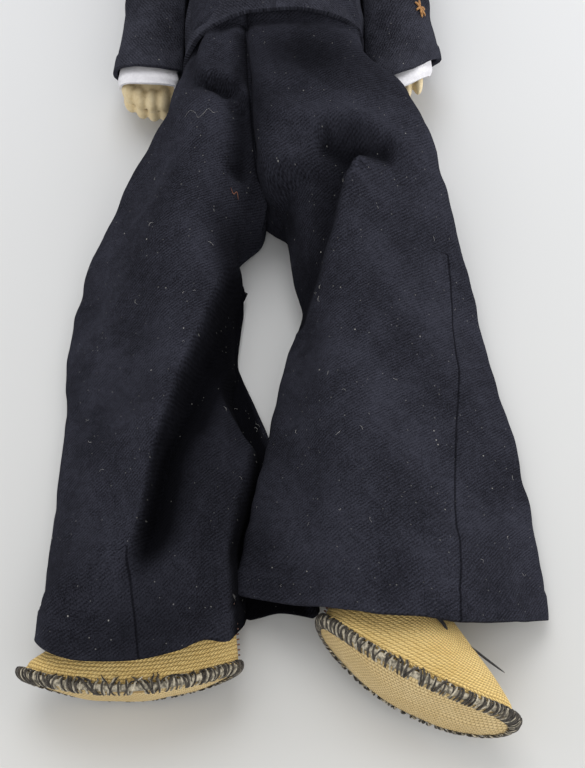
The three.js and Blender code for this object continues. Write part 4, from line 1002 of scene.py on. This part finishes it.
def make_hands():
    x, z = -37.8, 11.4
    right = [((x, -29, z), (7.6, 9.5, 6.4), 0, 0), ((x + 0.2, -34.4, z - 0.6), (7.6, 6.6, 6.2), 0, 0)]
    for cx, cy, lean in ((-44.0, -36.6, 0.34), (-40.4, -39.0, 0.16), (-36.8, -40.0, 0.02),
                         (-33.4, -39.6, -0.14)):
        right += [((cx, cy, z + 1.8), (2.2, 3.9, 3.6), lean, -0.35),
                  ((cx + 0.1, cy - 0.6, z - 2.4), (2.1, 3.2, 2.9), lean, 0.2)]
    right.append(((-30.8, -35.6, z + 1.6), (2.1, 5.4, 2.8), 0.2, 0.1))
    x, z = 38.8, 10.6
    left = [((x, -23.5, z), (7.2, 8.4, 5.8), 0, 0)]
    for i, reach in enumerate((7.2, 8.2, 8.0, 6.8)):
        place = (x - 4.9 + 3.3 * i, -29.6 + abs(i - 1.4) * 0.8, z)
        left.append((place, (1.85, reach, 3.1), 0.03 * (i - 1.5), 0))
    left.append(((x - 6.6, -28.0, z + 0.6), (2.2, 5.6, 2.8), -0.15, 0))
    for name, parts in (("right", right), ("left", left)):
        pad(blob(f"hand_cloth_{name}", parts, 0.42, 3), f"{name}_arm", f"hand_{name}")


def height_on(points, x, y):
    """The height of a piece's upper side over a place."""
    flat = points.reshape(-1, 3)
    upper = flat[flat[:, 2] > np.median(flat[:, 2])]
    near = np.argsort((upper[:, 0] - x) ** 2 + (upper[:, 1] - y) ** 2)[:6]
    return float(upper[near, 2].mean())


def make_star(sleeve):
    lines = []
    for dx, dy in ((-0.2, 2.9), (1.5, 1.0), (1.5, -1.5), (0.5, -3.0), (-1.1, -1.3), (-1.5, 1.3)):
        for share, lift in ((-0.12, 0.05), (0.25, 0.5), (0.6, 0.55), (0.92, 0.35), (1.05, -0.15)):
            px, py = 44.2 + dx * share, -14.4 + dy * share
            lines.append((px, py, height_on(sleeve, px, py) + lift))
    threads("star_stitches", np.reshape(lines, (6, 5, 3)), 0.36, GOLD_THREAD, "left_arm", sides=6)


SLEEVES = {name: make_sleeve(name, arm) for name, arm in ARMS.items()}
for side_name, arm in ARMS.items():
    make_cuff(side_name, arm)
make_hands()
make_star(SLEEVES["left"])


# Shoes

class Shoe:
    """A shoe's own frame: X to the toe, Y across, Z from the sole to the ankle."""

    def __init__(self, ankle, heel, toe, up, splay):
        self.ankle, heel, toe, up = (np.array(v, float) for v in (ankle, heel, toe, up))
        self.splay, self.middle = splay, (heel + toe) / 2
        self.toeward = unit(toe - heel)
        self.across = unit(np.cross(up, self.toeward))
        self.up = np.cross(self.toeward, self.across)

    def rim(self, angle, grow=0.0, scale=1.0, height=0.0):
        """A place round the sole's outline, which rocks up at the toe and the heel."""
        x = scale * (FOOT_LENGTH / 2 + grow) * np.cos(angle)
        y = scale * (FOOT_WIDTH / 2 + grow) * np.sign(np.sin(angle)) * np.abs(np.sin(angle)) ** 0.86
        z = -SOLE_ROCKER * (1 - (2 * x / FOOT_LENGTH) ** 2) + height
        local = vec(x, y * (1 + self.splay * np.cos(angle)), z)
        return self.middle + local @ np.stack([self.toeward, self.across, self.up])

    def upper(self, angle, share):
        """A place on the foot, from the sole, 0, to the ankle, 1."""
        start = self.rim(angle, height=0.3)
        facing = np.cos(angle)[..., None] * self.toeward + np.sin(angle)[..., None] * self.across
        climb = unit(facing * (1, 0, 1)) * ANKLE_RADIUS + self.ankle - start
        height = (climb @ self.up)[..., None] * self.up
        toes = smoothstep(np.cos(angle), -0.3, 0.9)
        inward = (1 - np.sqrt(np.maximum(1 - share ** 2, 0))) * (1 - toes) + share ** 1.1 * toes
        return start + height * share[..., None] + (climb - height) * inward[..., None]

    def spot(self, angle, share):
        """One place on the foot."""
        return self.upper(np.array([[angle]]), np.array([[share]]))[0, 0]

    def stitch(self, angle, slant, top, low, grow):
        """A thread from the upper, round the edge, to under the sole, as (along, outwards, up)."""
        line = []
        for shift, out, high in ((-0.5, 1.5, top), (-0.3, 1.7, 0.6 * top + 0.1), (-0.1, 2.2 + grow, 0.6),
                                 (0.05, 2.62 + grow, 0.1), (0.2, 2.75 + grow, -0.9), (0.35, 2.3 + grow, -1.7),
                                 (0.5, 1.3, -2.15 - low), (0.6, 0.6, -2.0 - low)):
            at = angle + slant * shift
            if high > 0.9:
                place = self.spot(at, min(high / 24, 0.4))
                out_way = place - self.middle
                line.append(place + unit(out_way - self.up * (out_way @ self.up)) * 2.35)
            else:
                line.append(self.rim(np.array(at), out, 1, high))
        return spline(line, 12)


def make_shoe(name, shoe):
    body, number = f"{name}_leg", len(name)
    angle, share = np.meshgrid(np.arange(220) * math.tau / 220, np.linspace(0, 1, 64))
    foot = shoe.upper(angle, share)
    puff = 1.8 + 0.5 * np.sin(math.pi * np.clip(share * 1.2, 0, 1)) * smoothstep(np.cos(angle), -0.9, 0.6)
    puff += 0.22 * ripples(foot, 15, 70 + number) - 0.7 * bell(share, 0.035)
    points = foot + outward_of(foot) * puff[..., None]
    points[0] = shoe.rim(angle[0], 1.5, height=0.35)
    rise = np.cumsum(np.linalg.norm(np.diff(points, axis=0, prepend=points[:1]), axis=2), 0)
    cloth(f"canvas_upper_{name}", points, CANVAS_THICKNESS, CANVAS, body, [f"shoe_upper_{name}"],
          weave=vec(around(points), rise, 0), edge=0.25)

    scale = np.concatenate([np.linspace(0, 1, 30), np.full(5, 1.0)])[:, None]
    curl = np.concatenate([np.zeros(30), np.linspace(0.2, 1, 5)])[:, None] * math.pi / 2
    turn = np.arange(200)[None] * math.tau / 200
    height = -1.7 - 1.1 * (1 - scale ** 2.4) + 1.35 * (1 - np.cos(curl))
    bottom = shoe.rim(turn, 1.2 * scale + 0.55 * np.sin(curl), scale, height)
    bottom += shoe.up * (0.12 * ripples(bottom, 10, 80 + number))[..., None]
    flat = vec(scale * FOOT_LENGTH / 2 * np.cos(turn), scale * FOOT_WIDTH / 2 * np.sin(turn), 0)
    cloth(f"canvas_sole_{name}", bottom, CANVAS_THICKNESS, SOLE_CANVAS, body, [f"shoe_sole_{name}"],
          weave=flat, edge=0.2, merge=True,
          outside=np.broadcast_to(-shoe.up, bottom.shape))

    def stops(count):
        return np.linspace(0, math.tau, count)[:-1]

    random = np.random.default_rng(90 + number)
    bead = [shoe.rim(np.array(a), 1.85 + 0.1 * math.sin(9 * a) + 0.08 * math.sin(23 * a), 1, -0.7)
            for a in stops(221)]
    threads(f"binding_core_{name}", [bead], 0.85, PALE_FUZZ, body, f"shoe_binding_{name}", sides=9,
            closed=True)
    pale = [shoe.stitch(a, 0.05 * random.normal(), 1.0 + 0.25 * random.normal(), 0, -0.05) for a in stops(92)]
    threads(f"binding_threads_{name}", pale, 0.27, PALE_FUZZ, body, sides=6)
    dark = []
    for a in stops(118) + 0.02:
        top = min(0.8 + abs(random.normal()) * 0.55, 4.6)
        dark.append(shoe.stitch(a + 0.012 * random.normal(), 0.075 * random.normal() + 0.03, top, 0.1,
                                0.12 + 0.1 * random.normal()))
    sizes = [0.22 + 0.09 * random.random() for _ in dark]
    threads(f"binding_stitches_{name}", dark, sizes, DARK_THREAD, body)

    heel = []
    for k in np.linspace(0.12, 0.9, 13):
        spots = [shoe.spot(math.pi + d, k + 0.01) for d in (-0.05, 0, 0.05)]
        away = unit(spots[1] - shoe.middle)
        heel.append([q + away * lift for q, lift in zip(spots, (1.7, 2.2, 1.7))])
    threads(f"heel_stitches_{name}", heel, 0.24, RED_THREAD, body)

    band = []
    for share, out in ((0.965, 2.3), (0.93, 2.45)):
        ring = shoe.upper(stops(90)[None], np.full((1, 89), share))[0]
        band.append(ring + unit(ring - ring.mean(0)) * out)
    threads(f"ankle_lace_{name}", band, 0.5, BLACK_THREAD, body, closed=True)


make_shoe("right", Shoe((-19.2, -195.6, 15.4), (-4.6, -213, 13), (-61.2, -215, 13.6), (0, 0.985, 0.17), 0.1))
make_shoe("left", Shoe((26, -191, 15), (10.5, -201.6, 14.4), (58.6, -228, 14), (0.42, 0.90, -0.12), 0.16))
# The loose black ends of the left shoe's lace
LACE_ENDS = [
    [(34.5, -198.5, 21.5), (38.5, -203, 22), (42.4, -208, 21.4), (47, -209.6, 18.4), (52, -211.6, 13.4),
     (56.5, -213.4, 9)],
    [(33.5, -198, 20.5), (38, -203.4, 21), (41.6, -208.8, 20), (46, -211, 16.6), (50.4, -213.4, 12),
     (54.6, -215.6, 8.2)],
    [(31, -199, 22.2), (35.5, -201.5, 24.4), (40.5, -205.5, 23.6), (41.5, -207.6, 21.4), (38, -204.5, 20.4),
     (33, -200.5, 20.4)],
]
threads("lace_ends_left", [spline(line, 40) for line in LACE_ENDS], [0.34, 0.34, 0.42], BLACK_THREAD,
        "left_leg",
        sides=6)


# Head and hair

HEAD_WIDTH = through([(0, 0.36), (0.06, 0.6), (0.2, 0.86), (0.42, 0.99), (0.62, 1), (0.8, 0.88),
                      (0.92, 0.62), (1, 0.2)])
HEAD_FACE = through([(0, 0.8), (0.08, 0.93), (0.25, 0.97), (0.6, 1), (0.8, 0.95), (0.92, 0.82), (1, 0.6)])
HEAD_NAPE = through([(0, 0.34), (0.08, 0.2), (0.25, 0.08), (0.55, 0), (0.8, 0.05), (0.92, 0.18), (1, 0.38)])


def head_section(up):
    """The half width of the head at a share of its height, the middle of its depth and half of its depth."""
    low, high = HEAD_BACK + HEAD_DEPTH * HEAD_NAPE(up), HEAD_BACK + HEAD_DEPTH * HEAD_FACE(up)
    return HEAD_HALF_WIDTH * HEAD_WIDTH(up), (low + high) / 2, (high - low) / 2


def on_face(x, up, lift=0.0):
    """A place on the front of the head."""
    width, middle, half = (float(v) for v in head_section(up))
    z = middle + half * (1 - min(abs(x) / width, 1) ** 2.3) ** (1 / 2.3)
    return np.array([x, CHIN_Y + HEAD_HEIGHT * up, z + lift])


def make_head():
    up = np.concatenate([[0, 0], np.linspace(0, 1, 96), [1, 1]])[:, None]
    width, middle, half = head_section(up)
    out_z, out_x = squarish(np.linspace(0, math.tau, 1000)[None], 2.3)
    points = evenly(vec(width * out_x, CHIN_Y + HEAD_HEIGHT * up, middle + half * out_z), 150)
    for row, share, shift in ((0, 0.02, -0.5), (1, 0.55, -0.35), (-1, 0.02, 1.1), (-2, 0.55, 0.8)):
        centre = points[row].mean(0)
        points[row] = centre + (points[row] - centre) * share
        points[row, :, 1] += shift
    x, up_at = points[..., 0], (points[..., 1] - CHIN_Y) / HEAD_HEIGHT
    front = smoothstep(points[..., 2], HEAD_BACK + 0.6 * HEAD_DEPTH, HEAD_BACK + 0.85 * HEAD_DEPTH)

    def swell(at_x, wide, at_up, tall):
        return np.exp(-(((x - at_x) / wide) ** 2 + ((up_at - at_up) / tall) ** 2))

    def both(at_x, wide, at_up, tall):
        return swell(-at_x, wide, at_up, tall) + swell(at_x, wide, at_up, tall)

    bump = (1.1 * both(9.5, 6, 0.3, 0.1) - 0.9 * both(8.4, 4.6, 0.52, 0.07) + 0.7 * swell(0, 4.5, 0.13, 0.06)
            + 2.3 * swell(0, 2.6, 0.4, 0.05) + 0.8 * swell(0, 2.2, 0.48, 0.07))
    blush = both(11.5, 4.2, 0.33, 0.07) * front * 0.8
    points = points + outward_of(points) * (bump * front + 0.14 * ripples(points, 14, 95))[..., None]
    head = closed_tube("head_cloth", points)
    give(head, "blush", blush.ravel())
    pad(applied(head, WELD=dict(merge_threshold=0.002 * MM)), "head_and_hair", "head")

    eyes, brows, lashes = [], [], []
    for eye in (-8.4, 8.4):
        side = np.sign(eye)
        for k in np.linspace(-1, 1, 11):
            half = 1.75 * math.sqrt(max(1 - k * k, 0.02)) / HEAD_HEIGHT
            eyes.append([on_face(eye + 1.5 * k, 0.515 + v * half, lift)
                         for v, lift in ((-1, -0.75), (-0.4, 0.05), (0.4, 0.05), (1, -0.75))])
        steps = np.linspace(-1, 1, 12)
        brows.append([on_face(eye + side * 3.6 * t, 0.60 + 0.016 * (1 - t * t), 0.02) for t in steps])
        lashes.append([on_face(eye + side * 2.5 * t, 0.515 + 0.036 * (1 - 0.75 * t * t),
                               -0.42) for t in steps])
    lips = [[on_face(3.4 * t, v + bend * t * t, 0.12) for t in np.linspace(-1, 1, 14)]
            for v, bend in ((0.215, 0.010), (0.207, 0.014))]
    for piece, lines, size, finish in (("eye", eyes, 0.24, BROWN_THREAD), ("brow", brows, 0.3, BROWN_THREAD),
                                       ("lash", lashes, 0.26, BROWN_THREAD),
                                       ("mouth", lips, 0.3, LIP_THREAD)):
        threads(f"{piece}_stitches", lines, size, finish, "head_and_hair", sides=6)


def make_ears():
    for name, side in (("right", -1), ("left", 1)):
        x, y, z = side * (HEAD_HALF_WIDTH + 0.4), CHIN_Y + 0.42 * HEAD_HEIGHT, HEAD_BACK + 0.5 * HEAD_DEPTH
        parts = [((x, y + 2.6 * math.cos(t), z - 1.6 * math.sin(t)), (1.5, 1.7, 1.5), 0, 0)
                 for t in np.linspace(-0.2, 3.3, 8)]
        parts.append(((x - side * 0.6, y, z), (1.0, 3.0, 2.0), 0, 0))
        pad(blob(f"ear_cloth_{name}", parts, 0.35, 4), "head_and_hair", f"ear_{name}")


def make_hair():
    base = softened(linked("hair_cap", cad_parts["hair"].data.copy()), 0.9, 6)
    pad(base, "head_and_hair", "hair", finish=HAIR_WOOL)
    random = np.random.default_rng(100)
    middle = np.array([0, CHIN_Y + 0.55 * HEAD_HEIGHT, HEAD_BACK + 0.5 * HEAD_DEPTH])
    faces = [f for f in base.data.polygons if np.dot(np.array(f.normal),
                                                     np.array(f.center) / MM - middle) > 0]
    t = np.linspace(0, 1, 9)[:, None]
    lines = []
    for f in random.choice(faces, 1150, replace=False):
        centre, normal = np.array(f.center) / MM, np.array(f.normal)
        if centre[2] < 2.4:
            continue
        side = unit(np.cross(normal, [0.3, 1, 0.2]))
        turn, way, size = random.uniform(0, 6.3), random.choice([-1, 1]), random.uniform(0.9, 1.5)
        ring = turn + way * t * 6.6
        line = (centre + normal * (0.1 + 0.9 * np.sin(t * math.pi))
                + (side * np.cos(ring) + np.cross(normal, side) * np.sin(ring)) * size * (1 - 0.35 * t))
        line[:, 0] = np.clip(line[:, 0], -26.2, 26.2)
        line[:, 2] = np.maximum(line[:, 2], 0.5)
        lines.append(line)
    threads("hair_curls", lines, 0.42, HAIR_WOOL, "head_and_hair", sides=4)


def make_neck():
    y = np.linspace(NECKLINE_Y - 6.5, CHIN_Y + 3.0, 26)[:, None]
    angle = np.arange(72)[None] * math.tau / 72
    radius = 9.0 - 0.35 * np.sin((y - 78) * 0.5)
    made = closed_tube("neck_cloth", vec(radius * np.cos(angle), y, AXIS_Z + radius * np.sin(angle)))
    pad(made, "trunk", "neck")


make_neck()
make_head()
make_ears()
make_hair()


# Lint and fibres that lie on the trousers

def make_lint():
    random = np.random.default_rng(110)
    for name, (points, normals) in TROUSER_GRIDS.items():
        tops = np.argwhere((normals[..., 2] > 0.5) & (points[..., 1] < -92) & (points[..., 1] > -196))
        lines, sizes = [], []
        for row, column in tops[random.choice(len(tops), 22, replace=False)]:
            centre, normal = points[row, column], normals[row, column]
            side = unit(np.cross(normal, [0, 1, 0.1]))
            ahead = np.cross(normal, side)
            turn, bend, reach = random.uniform(0, 6.3), random.normal() * 1.6, random.uniform(0.35, 1.2)
            line = [centre + normal * 0.1]
            for _ in range(9):
                turn += bend / 9 + random.normal() * 0.25
                line.append(line[-1] + (side * math.cos(turn) + ahead * math.sin(turn)) * reach / 5)
            lines.append([q + normal * (0.12 + 0.25 * math.sin(math.pi * k / 9)) for k, q in enumerate(line)])
            sizes.append(random.uniform(0.022, 0.038))
        threads(f"lint_{name}", lines, sizes, LINT, f"{name}_leg", sides=4)


def make_fibres():
    """Two longer fibres that have caught on the cloth."""
    points = TROUSER_GRIDS["right"][0]
    pale = [(-24, -67.9), (-22.6, -66.6), (-21, -67.6), (-20.2, -69.2), (-18.8, -68.2), (-17.4, -66.8),
            (-16, -68.0), (-14.9, -67.3)]
    red = [(-11.4, -85.2), (-10.6, -86.4), (-9.8, -85.6), (-9.4, -86.8)]
    for name, line, size, finish in (("pale_fibre", pale, 0.02, LINT), ("red_fibre", red, 0.09, RED_THREAD)):
        lifted = spline([(x, y, height_on(points, x, y) + 0.35) for x, y in line], 30)
        threads(name, [lifted], size, finish, "right_leg")


make_lint()
make_fibres()


# Floor, light and camera

def aimed(name, data, place, target):
    """A lamp or camera that looks from a place to a target, in metres."""
    made = bpy.data.objects.new(name, data)
    made.location = place
    made.rotation_euler = (Vector(target) - made.location).to_track_quat("-Z", "Y").to_euler()
    bpy.context.scene.collection.objects.link(made)
    return made


def make_stage():
    floor = mesh_object("floor", [(-3000, -3000, 0), (3000, -3000, 0), (3000, 3000, 0), (-3000, 3000, 0)],
                        [(0, 1, 2, 3)])
    f = Finish("floor_paper", 0.95, 0.05)
    # Painted shade: the paper's colour is darker towards the camera and lighter beyond the head.
    tone = f.between(f.split(f.place())[1], -330, 120)
    floor.data.materials.append(f.finish(f.mix(tone, linear((206, 206, 204)), linear((221, 222, 224)))))
    world = bpy.data.worlds.new("studio")
    world.use_nodes = True
    world.node_tree.nodes["Background"].inputs["Color"].default_value = (1, 1, 1, 1)
    world.node_tree.nodes["Background"].inputs["Strength"].default_value = 0.72
    scene = bpy.context.scene
    scene.world = world
    for name, place, size, power in (("key", (-0.12, 0.34, 0.97), 0.7, 4.2),
                                     ("front", (0.1, -0.95, 0.6), 0.8, 1.8),
                                     ("right side", (1.0, -0.05, 0.22), 0.5, 5.2),
                                     ("left side", (-1.0, -0.1, 0.36), 0.5, 0.8)):
        lamp = bpy.data.lights.new(name, "AREA")
        lamp.size, lamp.energy = size, power
        aimed(name, lamp, place, (0, -0.1, 0))
    camera = bpy.data.cameras.new("camera")
    camera.lens, camera.sensor_width, camera.sensor_fit = 58.875, 36, "AUTO"
    scene.camera = aimed("camera", camera, (0.0055, -0.29385, 0.30815), (0.0055, -0.130, 0))
    scene.view_settings.view_transform = "Standard"


make_stage()
